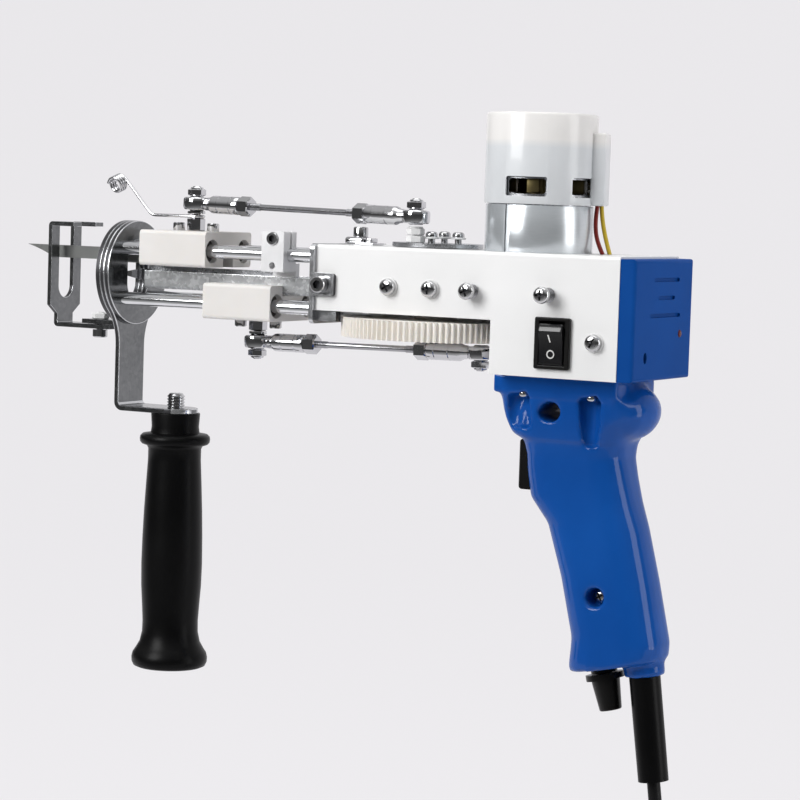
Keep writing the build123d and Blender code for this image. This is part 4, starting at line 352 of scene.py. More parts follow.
solids_by_finish = {
    "zinc": ("front_plate motor_mount guide_channel nose_rear_disc handle_bracket nose_front_ring "
             "presser_foot"),
    "white": "housing_shell housing_floor",
    "cap_blue": "rear_cap",
    "lens": "led_lens",
    "screw": "pan_screws socket_screws crank_fasteners",
    "grey_steel": "top_clip shaft_bearings motor_can motor_ring gear_shaft crank_disc pinion cutter_bar",
    "aluminium": "bearing_block rod_clamp",
    "milky": "motor_cover",
    "leads_red": "motor_wires",
    "black": ("switch_bezel trigger_switch speed_control cord_tie mains_plug trigger switch_rocker "
              "speed_knob"),
    "board": "control_board",
    "rod": "guide_rods",
    "rubber": "front_handle strain_relief",
    "bright": ("handle_stud motor_shaft needle_fasteners cutter_fasteners fixed_blade moving_blade "
               "upper_rod_ends upper_link_rod upper_crank_ball lower_rod_ends lower_link_rod "
               "lower_crank_ball"),
    "blue": "grip_left grip_right",
    "cord": "mains_cord cord_coil",
    "gear": "drive_gear",
    "upper_nylon": "needle_slider",
    "needle": "needle_bar needle",
    "chrome": "yarn_guide",
    "lower_nylon": "cutter_slider",
}
for finish, names in solids_by_finish.items():
    for name in names.split():
        nodes[name].data.materials.clear()
        nodes[name].data.materials.append(finishes[finish])


# Modelling, in millimetres: one piece is held at a time, its faces and edges picked by place
def hold(*pieces):
    """Makes some pieces the only ones selected, the first of them active."""
    if bpy.context.object and bpy.context.object.mode != "OBJECT":
        bpy.ops.object.mode_set(mode="OBJECT")
    bpy.ops.object.select_all(action="DESELECT")
    for piece in pieces:
        piece.select_set(True)
    bpy.context.view_layer.objects.active = pieces[0]
    return pieces[0]


def pick(piece, kind, test):
    """Opens a piece for editing with only the faces or edges selected that pass a test."""
    hold(piece)
    bpy.ops.object.mode_set(mode="EDIT")
    bpy.ops.mesh.select_mode(type=kind)
    bpy.ops.mesh.select_all(action="DESELECT")
    mesh = bmesh.from_edit_mesh(piece.data)
    for part in mesh.faces if kind == "FACE" else mesh.edges:
        if test(part):
            part.select_set(True)
    bmesh.update_edit_mesh(piece.data)


def shaped(piece):
    """Closes a piece's editing with its normals outwards."""
    bpy.ops.mesh.select_all(action="SELECT")
    bpy.ops.mesh.remove_doubles(threshold=merge_reach)
    bpy.ops.mesh.normals_make_consistent(inside=False)
    bpy.ops.object.mode_set(mode="OBJECT")
    return piece


def turned(name, rings, vertices=32, through=False):
    """A turned piece round Z: a circle extruded from ring to ring, each a radius and a height."""
    rings = [(radius * mm, height * mm) for radius, height in rings]
    radius, height = rings[0]
    bpy.ops.object.select_all(action="DESELECT")
    bpy.ops.mesh.primitive_circle_add(vertices=vertices, radius=radius, fill_type="NGON",
                                      location=(0, 0, height))
    piece = bpy.context.object
    piece.name = name
    bpy.ops.object.transform_apply()
    bpy.ops.object.mode_set(mode="EDIT")
    bpy.ops.mesh.select_all(action="SELECT")
    for next_radius, next_height in rings[1:]:
        bpy.ops.mesh.extrude_region_move(
            TRANSFORM_OT_translate={"value": (0, 0, next_height - height), "orient_type": "GLOBAL"})
        if next_radius != radius:
            share = next_radius / radius
            bpy.ops.transform.resize(value=(share, share, 1), center_override=(0, 0, next_height))
        radius, height = next_radius, next_height
    if through:
        bpy.ops.object.mode_set(mode="OBJECT")
        pick(piece, "FACE", lambda face: len(face.verts) == vertices)
        bpy.ops.mesh.delete(type="ONLY_FACE")
        bpy.ops.mesh.select_all(action="SELECT")
        bpy.ops.mesh.remove_doubles(threshold=merge_reach)
    return shaped(piece)


def tooled(piece, *cutters, operation="DIFFERENCE"):
    """Cuts other pieces out of a piece, or joins them to it, and removes them."""
    for cutter in cutters:
        changed(piece, "BOOLEAN", operation=operation, solver="EXACT", object=cutter)
        bpy.data.objects.remove(cutter)
    return piece


def bar(name, low, high, edge=0.0, segments=2):
    """A straight bar between two corners, its edges rounded."""
    bpy.ops.object.select_all(action="DESELECT")
    centre = [(a + b) / 2 * mm for a, b in zip(low, high)]
    sides = [(b - a) * mm for a, b in zip(low, high)]
    bpy.ops.mesh.primitive_cube_add(size=1, location=centre, scale=sides)
    piece = bpy.context.object
    piece.name = name
    bpy.ops.object.transform_apply()
    if edge:
        pick(piece, "EDGE", lambda line: True)
        bpy.ops.mesh.bevel(offset=edge * mm, segments=segments, affect="EDGES")
        shaped(piece)
    return piece


def at(*place):
    """The matrix that moves a piece to a place."""
    return Matrix.Translation(Vector(place) * mm)


def spun(degrees, axis="Z"):
    """The matrix that turns a piece round an axis."""
    return Matrix.Rotation(math.radians(degrees), 4, axis)


def facing(place, direction, spin=0.0):
    """The matrix that stands a piece on a place with its Z along a direction."""
    turn = Vector(direction).to_track_quat("Z", "Y").to_matrix().to_4x4()
    return at(*place) @ turn @ Matrix.Rotation(spin, 4, "Z")


def joined(name, *pieces):
    """Several pieces made one."""
    hold(*pieces)
    if len(pieces) > 1:
        bpy.ops.object.join()
    piece = bpy.context.object
    piece.name = name
    return piece


def copies(name, master, *places):
    """Copies of a piece at several places, each with its own mesh, joined into one piece."""
    made = []
    for place in places:
        hold(master)
        bpy.ops.object.duplicate()
        twin = bpy.context.object
        twin.data.transform(place)
        made.append(twin)
    return joined(name, *made)


def placed(name, master, *places):
    """Copies of a master that is then put away."""
    piece = copies(name, master, *places)
    bpy.data.objects.remove(master)
    return piece


def finished(piece, finish, body, slot, *stands_for, angle=35):
    """Gives a piece its finish, its body and the nodes it stands for; its slot is not used."""
    hold(piece)
    bpy.ops.object.shade_smooth_by_angle(angle=math.radians(angle))
    slots = piece.data.materials
    if finish and finishes["recess"].name in slots:
        slots[0] = finishes[finish]
    elif finish:
        slots.clear()
        slots.append(finishes[finish])
    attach(piece, body)
    if stands_for:
        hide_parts(*stands_for)
    return piece


def freed(piece):
    """Makes the copy of a solid a piece of its own."""
    piece.parent = None
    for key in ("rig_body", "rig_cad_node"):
        if key in piece:
            del piece[key]


def welded(piece, flatten=False):
    """Joins a solid's faces along their edges and drops their stored normals."""
    hold(piece)
    bpy.ops.object.mode_set(mode="EDIT")
    bpy.ops.mesh.select_all(action="SELECT")
    bpy.ops.mesh.remove_doubles(threshold=2.5 * merge_reach)
    bpy.ops.mesh.customdata_custom_splitnormals_clear()
    if flatten:
        bpy.ops.mesh.dissolve_limited(angle_limit=math.radians(1.5))
    bpy.ops.object.mode_set(mode="OBJECT")


def changed(piece, kind, **settings):
    """Puts a modifier on a piece and applies it."""
    hold(piece)
    change = piece.modifiers.new(kind.lower(), kind)
    for key, value in settings.items():
        setattr(change, key, value)
    bpy.ops.object.modifier_apply(modifier=change.name)
    return piece


def eased(name, width, finish, body, slot, segments=2):
    """A copy of a plain solid with its edges eased, which stands for it."""
    hold(nodes[name])
    bpy.ops.object.duplicate()
    piece = bpy.context.object
    piece.name = name + "_eased"
    freed(piece)
    welded(piece, flatten=True)
    changed(piece, "BEVEL", width=width * mm, segments=segments, limit_method="ANGLE",
            angle_limit=math.radians(40))
    finished(piece, finish, body, slot, name)
    return changed(piece, "WEIGHTED_NORMAL", keep_sharp=True, weight=100)


# The rings of threads and nuts
def thread(radius, start, end, pitch=0.7, depth=0.22):
    """The rings of a threaded length."""
    rings = []
    count = max(1, round((end - start) / pitch))
    for turn in range(count):
        level = start + (end - start) * turn / count
        rings += [(radius - depth, level), (radius, level + 0.4 * pitch), (radius, level + 0.6 * pitch)]
    rings.append((radius - depth, end))
    return rings


def nut(across, start, end, chamfer=0.4):
    """The rings of a chamfered hexagon, to be turned with six vertices."""
    corner = across / 2 / math.cos(math.pi / 6)
    return [(corner - 1.6 * chamfer, start), (corner, start + chamfer), (corner, end - chamfer),
            (corner - 1.6 * chamfer, end)]


# Screws: a pan head with its cross recess, modelled once for each size and copied
def paint_recess_shade(screw, reach, top):
    """Gives the faces in a screw's recess a near-black finish of painted shade."""
    for finish in ("screw", "recess"):
        screw.data.materials.append(finishes[finish])
    for face in screw.data.polygons:
        centre = face.center
        if math.hypot(centre.x, centre.y) < reach * mm and 0.1 * top < centre.z / mm < top:
            face.material_index = 1
    return screw


def pan_head(radius, height, shank, length, washer=0.0):
    """A pan-head screw, head up on the plane, with a washer under the head if asked for."""
    screw = turned("pan_head", [
        (shank, -length), (shank, 0), (radius * 0.98, 0), (radius, height * 0.12), (radius, height * 0.42),
        (radius * 0.95, height * 0.66), (radius * 0.82, height * 0.86), (radius * 0.6, height * 0.97),
        (radius * 0.3, height)], 32)
    arm = radius * 0.62
    thick = radius * 0.13
    deep = height * 0.5
    cutters = [bar("slot", (-arm, -thick, deep), (arm, thick, 2 * height)),
               bar("slot", (-thick, -arm, deep), (thick, arm, 2 * height)),
               turned("slot", [(radius * 0.16, deep * 0.7), (radius * 0.34, 2 * height)], 4)]
    paint_recess_shade(tooled(screw, *cutters), radius * 0.7, height * 0.84)
    if washer:
        ring = turned("washer", [(washer * 0.5, -0.7), (washer * 0.95, -0.7), (washer, -0.5),
                                 (washer, -0.2), (washer * 0.95, 0), (washer * 0.5, 0)], 32)
        screw = joined("pan_head", screw, ring)
    return screw


housing_side = 30
screw_row = 98.5
washed_places = ((7.06, 80.2, 0.78), (-67.84, screw_row, 1.04), (-87.44, screw_row, 1.04))
bare_places = ((-13.9, screw_row, 6.1), (-48.6, screw_row, 4.7))
side_heads = joined("side_heads", *[placed("side_heads", screw, *[
    facing((x, side * (housing_side + stand), z), (0, side, 0), x * 2.3 + side)
    for x, z, stand in places for side in (-1, 1)]) for screw, places in (
        (pan_head(3.5, 2.6, 1.6, 7, 4.0), washed_places), (pan_head(3.5, 2.6, 1.6, 9), bare_places))])
spacers = [placed("spacers", turned("spacer", thread(3.0, 0.1 - stand, -0.05, 0.9, 0.5), 28), *[
    facing((x, side * (housing_side + stand), z), (0, side, 0)) for side in (-1, 1)])
    for x, z, stand in bare_places]
finished(joined("side_spacers", *spacers), "dark_rod", "frame", "screw_steel")
flange_heads = placed("flange_heads", pan_head(2.3, 2.0, 1.5, 9.0), *[
    facing((x, y, 57.6), (0, 0, -1), x) for x in (1.0, -29.6) for y in (-17, 17)])
grip_screw_x, grip_screw_z = 4.8, -24.5
grip_head = placed("grip_head", pan_head(2.8, 2.4, 1.5, 14),
                   facing((grip_screw_x, -8.5, grip_screw_z), (0, -1, 0), 0.5))
grip_nut = turned("grip_nut", [(2.9, 5.6), (3.1, 5.9), (3.1, 8.3), (2.8, 8.7)], 6)
grip_nut.data.transform(facing((grip_screw_x, 0, grip_screw_z), (0, 1, 0)))
pan_heads = joined("pan_heads", side_heads, flange_heads, grip_head, grip_nut)
finished(pan_heads, "screw", "frame", "screw_steel", "pan_screws")


# The links between the cranks and the sliders
disc_screws_z, disc_top = 119.6, 117
needle_pin = Vector((-84.976, -13.006, 127.90))
cutter_pin = Vector((-57.689, -2.039, 71.70))
needle_ball = Vector((-203.26, 0, 130.20))
cutter_ball = Vector((-169.37, 0, 70.50))
disc_heads = placed("disc_heads", pan_head(2.6, 2.4, 1.5, 2.6, 3.2), *[
    facing((x, y, disc_screws_z), (0, 0, 1), x) for x, y in (
        (-72.14, 1.56), (-82.56, 8.86), (-89.86, -1.56), (-79.44, -8.86))])
upper_post = joined("upper_post", turned("post_nut", nut(7, disc_top, 120.0), 6),
                    turned("post_nut", nut(6.6, 120.3, 123.2), 6),
                    turned("post_ring", [(3.0, 123.2), (3.2, 123.4), (3.0, 123.8)]))
upper_post.data.transform(at(needle_pin.x, needle_pin.y, 0))
lower_post = turned("lower_post", nut(7, 75.8, 76.6, 0.2), 6)
lower_post.data.transform(at(cutter_pin.x, cutter_pin.y, 0))
crank_heads = joined("crank_heads", disc_heads, upper_post, lower_post)
finished(crank_heads, "screw", "crank", "screw_steel", "crank_fasteners")


# A rod end: the eye round its ball, a waist, and a body crimped to a hexagon at the rod
def rod_end():
    """A rod end with its eye at the origin and its body along X."""
    eye = turned("eye", [(4.45, -2.75), (5.3, -2.75), (5.8, -2.3), (6.0, -1.4), (6.0, 1.4), (5.8, 2.3),
                         (5.3, 2.75), (4.45, 2.75), (4.3, 1.8), (4.7, 0), (4.3, -1.8), (4.45, -2.75)],
                 48, through=True)
    body = turned("body", [(2.6, 5.3), (3.0, 6.6), (3.1, 8.2), (3.7, 9.2), (3.95, 9.8), (4.0, 10.4),
                           (4.0, 13.6), (3.75, 13.8), (3.75, 14.2), (4.0, 14.4), (4.0, 20.4), (3.75, 20.6),
                           (3.75, 21.0), (4.0, 21.2), (4.0, 24.4), (3.7, 25.0), (1.7, 25.0)])
    body.data.transform(spun(90, "Y"))
    return joined("rod_end", eye, body)


def link_end(start, finish):
    """The matrix of a rod end at one ball, its X along the link."""
    along = (finish - start).normalized()
    across = Vector((0, 0, 1)).cross(along).normalized()
    return at(*start) @ Matrix((along, across, along.cross(across))).transposed().to_4x4()


def link_rod(name, start, finish, across):
    """The thin rod between two rod ends, threaded near its two lock nuts."""
    length = (finish - start).length
    inset, threaded, nut_near, nut_far = 16.3, 20, 25.05, 31.05
    rod = turned(name, thread(1.6, inset, inset + threaded)
                 + thread(1.6, length - inset - threaded, length - inset), 20)
    nuts = joined(name + "_nuts", turned("lock_nut", nut(across, nut_near, nut_far), 6),
                  turned("lock_nut", nut(across, length - nut_far, length - nut_near), 6))
    for piece in (rod, nuts):
        piece.data.transform(facing(start, finish - start))
    return rod, nuts


end_master = rod_end()
for level, link_body, front, rear in (("upper", "needle_link", needle_ball, needle_pin),
                                      ("lower", "cutter_link", cutter_ball, cutter_pin)):
    ends = copies(level + "_eyes", end_master, link_end(front, rear), link_end(rear, front))
    rod, nuts = link_rod(level + "_rod", front, rear, 7.6)
    finished(joined(level + "_eyes", ends, nuts), "chrome", link_body, "bright_steel", level + "_rod_ends")
    finished(rod, "dark_rod", link_body, "bright_steel", level + "_link_rod")
bpy.data.objects.remove(end_master)


# Ball studs: a flattened ball, a collar, a self-locking nut and a threaded tip
ball = [(4.4 * math.cos(a), 4.4 * math.sin(a))
        for a in (math.radians(d) for d in (-50, -38, -25, -12, 0, 12, 25, 38, 50))]
lock_cap = joined("lock_cap", turned("nut", nut(7, 3.45, 6.45), 6),
                  turned("collar", [(2.9, 6.35), (2.9, 6.85), (2.6, 7.25), (1.9, 7.25)], 24))
stud_top = joined("stud_top", turned("ball_up", [(2.0, -3.4)] + ball + thread(1.9, 3.4, 7.7)), lock_cap)
upper_ball = copies("upper_ball", stud_top, at(*needle_pin))
finished(upper_ball, "chrome", "needle_link", "bright_steel", "upper_crank_ball")
lower_ball = copies("lower_ball", stud_top, facing(cutter_pin, (0, 0, -1)))
finished(lower_ball, "chrome", "cutter_link", "bright_steel", "lower_crank_ball")
socket_master = turned("socket_head", [(1.9, -6), (1.9, 0), (2.6, 0), (2.7, 0.2), (2.7, 3.2), (2.4, 3.6)])
paint_recess_shade(tooled(socket_master, turned("hexagon", [(1.5, 1.6), (1.5, 5)], 6)), 1.6, 3.3)


def slider_stud(name, seat, place, hex_height, way):
    """The ball stud of a slider with its two socket screws."""
    reach = abs(place.z - seat)
    stud = joined(name, turned("shank", [(1.9, -6)] + thread(1.9, 0.0, reach - 3.2), 24),
                  turned("hexagon", nut(7, 0, hex_height), 6),
                  turned("collar", [(2.4, reach - 4.6), (3.8, reach - 4.6), (4.0, reach - 4.4),
                                    (4.0, reach - 3.6), (3.8, reach - 3.4), (2.4, reach - 3.4)]),
                  copies("top", stud_top, at(0, 0, reach)),
                  copies("screws", socket_master, at(-9, 0, 0), at(9, 0, 0)))
    stud.data.transform(facing((place.x, 0, seat), (0, 0, way)))
    return stud


needle_stud = slider_stud("needle_stud", 118.0, needle_ball, 5.7, 1)
finished(needle_stud, "chrome", "needle_carriage", "bright_steel", "needle_fasteners")
cutter_stud = slider_stud("cutter_stud", 80.3, cutter_ball, 5.0, -1)
pivot = turned("pivot", [(1.0, -3.0), (1.2, -2.8), (1.2, 2.8), (1.0, 3.0)], 24)
pivot.data.transform(facing((-221.5, 0, 97.65), (0, 1, 0)))
cutter_stud = joined("cutter_stud", cutter_stud, pivot)
finished(cutter_stud, "chrome", "cutter_carriage", "bright_steel", "cutter_fasteners")
for spare in (stud_top, socket_master):
    bpy.data.objects.remove(spare)


# Socket-head screws: a cylinder head with a hexagon recess, for the nose, the ears, the clip and the clamp
def socket_head(radius, height, shank, length):
    """A socket-head screw, head up on the plane."""
    screw = turned("socket_head", [
        (shank, -length), (shank, 0), (radius * 0.96, 0), (radius, radius * 0.05), (radius, height * 0.86),
        (radius * 0.95, height * 0.95), (radius * 0.86, height)], 40)
    recess = turned("hexagon", [(radius * 0.42, height * 0.35), (radius * 0.56, height * 0.42),
                                (radius * 0.56, height * 2)], 6)
    return paint_recess_shade(tooled(screw, recess), radius * 0.6, height * 0.9)


nose_heads = placed("nose_heads", socket_head(3.4, 3.4, 1.9, 13.9), *[
    facing((-239.7, y, z), (-1, 0, 0), y) for y in (-13, 13) for z in (86.9, 109.5)])
ear_heads = placed("ear_heads", socket_head(3.5, 3.4, 1.9, 4.1), *[
    facing((-119, side * 32.6, 98.2), (0, side, 0), 0.4) for side in (-1, 1)])
clamp_head = placed("clamp_head", socket_head(2.8, 2.8, 1.5, 7.6),
                    facing((-151.5, -17.25, 116.3), (0, -1, 0), 0.2))
clip_head = placed("clip_head", socket_head(3.2, 4.2, 1.9, 3.4), facing((-116.5, -4, 118.5), (0, 0, 1)))
foot_x = -253.8
foot_head = placed("foot_head", socket_head(3.4, 3.6, 1.7, 2.0), facing((foot_x, 0, 71.45), (0, 0, -1)))
foot_fastener = joined("foot_fastener", turned("foot_shank", [(1.7, 71.4)] + thread(1.75, 72.0, 79.4), 24),
                       turned("foot_nut", nut(7, 76.3, 79.0), 6))
foot_fastener.data.transform(at(foot_x, 0, 0))
socket_heads = joined("socket_heads", nose_heads, ear_heads, clamp_head, clip_head, foot_head,
                      foot_fastener)
finished(socket_heads, "screw", "frame", "screw_steel", "socket_screws", angle=24)


# The motor: a can with windows over its brushes, the split flux ring, and the milky fan cover
def windowed(piece, width, low, high, edge):
    """Cuts the four windows out through a round wall."""
    for degrees in (-80, -8, 100, 172):
        cutter = bar("window", (10, -width / 2, low), (30, width / 2, high))
        pick(cutter, "EDGE", lambda line: abs(line.verts[0].co.x - line.verts[1].co.x) > mm)
        bpy.ops.mesh.bevel(offset=edge * mm, segments=4, affect="EDGES")
        shaped(cutter)
        cutter.data.transform(spun(degrees))
        tooled(piece, cutter)


motor_place = at(-33.8, 0, 0)
can = turned("can", [(20.0, 134), (20.0, 100), (21.2, 100), (21.2, 165.6), (20.9, 166.4),
                     (20.2, 166.7)], 96)
tooled(can, turned("can_bore", [(19.6, 120), (19.6, 160)], 96))
windowed(can, 15.6, 139.0, 145.2, 1.2)
core = turned("core", [(11, 121), (15.5, 121), (15.5, 138), (9, 139), (9, 158)], 24)
brushes = placed("brushes", bar("brush", (10, -2.6, 139.5), (18.5, 2.6, 146), 0.5),
                 *[spun(-74 + 90 * quarter) for quarter in range(4)])
for piece, finish in ((can, "grey_steel"), (joined("armature", core, brushes), "brass")):
    piece.data.transform(motor_place)
    finished(piece, finish, "frame", "motor_grey")
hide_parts("motor_can")

fan_cover = turned("fan_cover", [(21.6, 170.7), (21.6, 134.8), (23.0, 134.8), (23.2, 135.1), (23.2, 171.2),
                                 (23.0, 171.8), (22.6, 172.2), (22.0, 172.3)], 96)
windowed(fan_cover, 17.5, 138.0, 146.0, 0.9)
connector = bar("connector", (21.9, -6.0, 134.9), (28.0, 6.0, 164.8), 0.9, 3)
connector.data.transform(spun(14))
tooled(fan_cover, connector, operation="UNION")
fan_cover.data.transform(motor_place)
finished(fan_cover, "milky", "frame", "clear_plastic", "motor_cover")

flux_ring = turned("flux_ring", [(21.3, 109.3), (21.3, 109.0), (22.2, 109.0), (22.4, 109.3), (22.4, 134.2),
                                 (22.2, 134.5), (21.3, 134.5), (21.3, 109.3)], 128, through=True)
for cutter in (bar("seam", (18, -0.35, 100), (26, 0.35, 140)),
               bar("notch", (18, -1.5, 106), (26, 1.5, 110.6))):
    cutter.data.transform(spun(-102))
    tooled(flux_ring, cutter)
flux_ring.data.transform(motor_place)
finished(flux_ring, "flux", "frame", "motor_grey", "motor_ring")


# Leads, the wire yarn guide and the mains cord are round wires along a smooth line
def wire(name, points, radius, order, steps, roundness):
    """A round wire along a smooth line through its points, in metres."""
    curve = bpy.data.curves.new(name, "CURVE")
    curve.dimensions = "3D"
    spline = curve.splines.new("NURBS")
    spline.points.add(len(points) - 1)
    for point, place in zip(spline.points, points):
        point.co = (*place, 1)
    spline.order_u = order
    spline.use_endpoint_u = True
    spline.resolution_u = steps
    curve.bevel_depth = radius
    curve.bevel_resolution = roundness
    curve.use_fill_caps = True
    piece = bpy.data.objects.new(name, curve)
    bpy.context.scene.collection.objects.link(piece)
    return piece


def bent(name, points, finish, radius=0.9, body="frame", slot="wire_red"):
    """A short wire or insulated lead, bent through a few given points."""
    hold(wire(name, [[v * mm for v in place] for place in points], radius * mm, 4, 12, 4))
    bpy.ops.object.convert(target="MESH")
    return finished(bpy.context.object, finish, body, slot, angle=60)


red_lead = bent("red_lead", ((-9.6, 4.8, 136), (-10.2, 4.6, 131), (-10.4, 4.4, 124), (-8.6, 4.6, 119),
                             (-6.6, 5.0, 114.9)), "leads_red")
yellow_lead = bent("yellow_lead", ((-9.0, 7.2, 136), (-8.8, 7.3, 131), (-7.4, 7.8, 123), (-5.9, 8.2, 118),
                                   (-5.0, 8.5, 114.9)), "leads_yellow")
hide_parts("motor_wires")
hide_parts("motor_wires")

# The wire yarn guide: two legs round the needle carriage's stud, and an eye of three close turns
guide_z, leg_y = 124.5, 3.2
eye_centre = Vector((-241.9, -3.0, 138.8))
eye_axis = Vector((-0.12, -0.94, -0.32)).normalized()
leg_way = Vector((-0.717, 0, 0.697))
eye_radius, eye_pitch, turn_steps = 3.5, 1.5, 12
aside = leg_way.cross(eye_axis).normalized()
ahead = eye_axis.cross(aside)
guide_points = [(x, y, guide_z + rise) for x, y, rise in (
    (-226, leg_y, 0), (-215, leg_y, 0), (-204, leg_y, 0), (-200.6, 2.6, 0), (-199.6, 0, 0),
    (-200.6, -2.6, 0), (-204, -leg_y, 0), (-215, -leg_y, 0), (-221.6, -leg_y, 0), (-224.4, -leg_y, 0),
    (-226.0, -leg_y, 1.2), (-229, -leg_y, 4.2))]
for step in range(41):
    turn = 2 * math.pi * step / turn_steps
    guide_points.append(tuple(eye_centre + eye_radius * (math.cos(turn) * aside + math.sin(turn) * ahead)
                              + eye_pitch * step / turn_steps * eye_axis))
yarn_wire = bent("yarn_wire", guide_points, "chrome", 0.72, "needle_carriage", "bright_steel")
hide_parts("yarn_guide")


# The mains switch: a glossy rocker with hollowed faces, a slanted upper end and the two usual marks
rocker_half, rocker_front, rocker_back = 8.3, 2.4, 2.6
slant_from, slant, narrowing = 5.8, 0.9, 0.34


def dish(level):
    """How far the rocker's hollowed face stands out at a level."""
    return 0.95 * (abs(level) / rocker_half) ** 2


rocker = bar("rocker", (-5.3, -rocker_front, -rocker_half), (5.3, rocker_back, rocker_half))
pick(rocker, "FACE", lambda face: True)
bpy.ops.mesh.subdivide(number_cuts=11)
shaped(rocker)
for corner in rocker.data.vertices:
    depth, level = corner.co.y / mm, corner.co.z / mm
    near = max(0, -depth / rocker_front)
    corner.co.y += near * (slant * max(0, level - slant_from) - dish(level)) * mm
    corner.co.z *= 1 - narrowing * (depth + rocker_front) / (rocker_front + rocker_back)
pick(rocker, "EDGE", lambda line: line.calc_face_angle(0) > math.radians(40))
bpy.ops.mesh.bevel(offset=0.35 * mm, segments=2, affect="EDGES")
shaped(rocker)
stroke = bar("stroke", (-0.3, -0.06, -1.6), (0.3, 0.06, 1.6), 0.03)
stroke.data.transform(at(-0.4, 0, 2.4) @ spun(-14, "Y"))
loop = turned("loop", [(1.25, -0.06), (1.75, -0.06), (1.75, 0.06), (1.25, 0.06), (1.25, -0.06)], 40,
              through=True)
loop.data.transform(at(0, 0, -4.0) @ spun(90, "X"))
marks = joined("rocker_marks", stroke, loop)
for corner in marks.data.vertices:
    corner.co.y -= (rocker_front + dish(corner.co.z / mm)) * mm
for piece, finish in ((rocker, "gloss_black"), (marks, "mark_white")):
    piece.data.transform(at(-11.1, -30.4, 79.1) @ spun(9, "X"))
    finished(piece, finish, "rocker", "black_plastic")
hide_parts("switch_rocker")


# The front handle is turned, and its stud is threaded
handle_axis = at(-211.5, 0, 0)
handle_rings = [(9.8, 36.1), (10.9, 36.1), (11.0, 35.6), (10.6, 30.0), (11.0, 27.2), (14.6, 26.6),
                (15.6, 25.6), (15.8, 24.4), (15.6, 23.0), (14.8, 22.1), (12.6, 21.4), (11.9, 20.0),
                (11.9, 15.0), (12.5, 4.0), (13.1, -8.0), (13.5, -20.0), (13.7, -32.0), (13.5, -42.0),
                (12.9, -51.0), (12.5, -58.0), (12.6, -63.0), (13.6, -67.5), (15.3, -70.5), (16.6, -72.5),
                (17.1, -74.5), (17.0, -76.5), (16.2, -78.2), (14.6, -78.9)]
handle = turned("front_handle_rubber", handle_rings, 96)
stud = turned("handle_thread",
              [(3.4, 6.1)] + thread(4.0, 30.0, 44.2, 1.25, 0.55) + [(3.1, 44.8), (2.8, 45.0)])
for piece in (handle, stud):
    piece.data.transform(handle_axis)
finished(handle, "rubber", "frame", "black_rubber", "front_handle", angle=60)
finished(stud, "screw", "frame", "bright_steel", "handle_stud")


# The clip on top: a folded plate under its screw, and a nut beside it
clip = joined("clip_plate",
              bar("clip_base", (-121.0, -8.0, 115.0), (-108.0, 1.5, 116.0), 0.3),
              bar("clip_fold", (-122.4, -8.0, 115.0), (-113.0, 0.5, 118.4), 1.3, 4),
              bar("clip_nut", (-112.6, -7.0, 116.0), (-109.6, -1.0, 118.0), 0.4))
finished(clip, "chrome", "frame", "zinc", "top_clip")


# Folded and cut sheet with its edges eased: cut edges are dark, rims get a painted highlight
for name, width, finish, across in (
        ("nose_rear_disc", 0.4, "zinc", 0), ("handle_bracket", 0.45, "zinc", 0),
        ("nose_front_ring", 0.4, "zinc", 0), ("presser_foot", 0.4, "zinc", 0),
        ("guide_channel", 0.25, "zinc_light", 1), ("front_plate", 0.3, "zinc_bright", 1)):
    plate = eased(name, width, finish, nodes[name]["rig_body"], "zinc")
    for edge_finish in ("cut_edge", "rim"):
        plate.data.materials.append(finishes[edge_finish])
    for face in plate.data.polygons:
        lean = abs(face.normal[across])
        if lean < 0.97 and face.area < 20 * mm * mm:
            face.material_index = 1 if lean < 0.35 else 2
for name, width, finish, body, slot, segments in (
        ("needle_slider", 0.35, "upper_nylon", "needle_carriage", "nylon", 2),
        ("cutter_slider", 0.35, "lower_nylon", "cutter_carriage", "nylon", 2),
        ("rod_clamp", 0.3, "aluminium", "frame", "aluminium", 2),
        ("rear_cap", 1.3, "cap_blue", "frame", "blue_plastic", 4),
        ("switch_bezel", 0.3, "black", "frame", "black_plastic", 2)):
    eased(name, width, finish, body, slot, segments)


# The pistol grip: both halves and a fuller lump behind, closed into one moulded skin
def closed(piece, size):
    """Turns a piece into one even skin."""
    return changed(piece, "REMESH", mode="VOXEL", voxel_size=size * mm)


def softened(piece, name, iterations, weigh):
    """Smooths a piece, with a weight for each place."""
    group = piece.vertex_groups.new(name=name)
    for corner in piece.data.vertices:
        weight = weigh(*(v / mm for v in corner.co))
        if weight:
            group.add([corner.index], weight, "REPLACE")
    changed(piece, "SMOOTH", factor=0.5, iterations=iterations, vertex_group=name)


def rounding(x, y, z):
    """How much the grip is rounded at a place: most at its foot and its lump, least at its scoops."""
    if math.hypot(x - grip_screw_x, z - grip_screw_z) < 7:
        return 0.12
    if z > 36:
        return 0.8 if x > 12 or (x > 8 and z < 57) else 0.25 if x < -20 and z < 54 else 0.08
    if z < -38:
        return 0.35 if x > 8 else 1.0
    return 0.4


def heel(x, y, z):
    """How much more the front of the grip's foot is rounded at a place."""
    return min(1.0, (-44 - z) / 5) if z < -44 and x < 2 else 0


halves = [copies(name, nodes[name], Matrix.Identity(4)) for name in ("grip_left", "grip_right")]
for half in halves:
    freed(half)
grip = joined("grip_skin", *halves)
welded(grip)
half_round = [math.radians(degrees) for degrees in range(-85, 86, 10)]
lump = turned("lump", [(math.cos(a), math.sin(a)) for a in half_round], 48)
lump.data.transform(at(10.2, 0, 51.4) @ Matrix.Diagonal((12.4, 16.4, 12.0, 1)))
grip = closed(joined("grip_skin", grip, lump), 0.9)
recess = turned("recess", [(3.9, 8.5), (3.9, 24)])
recess.data.transform(facing((grip_screw_x, 0, grip_screw_z), (0, -1, 0)))
tooled(grip, recess)
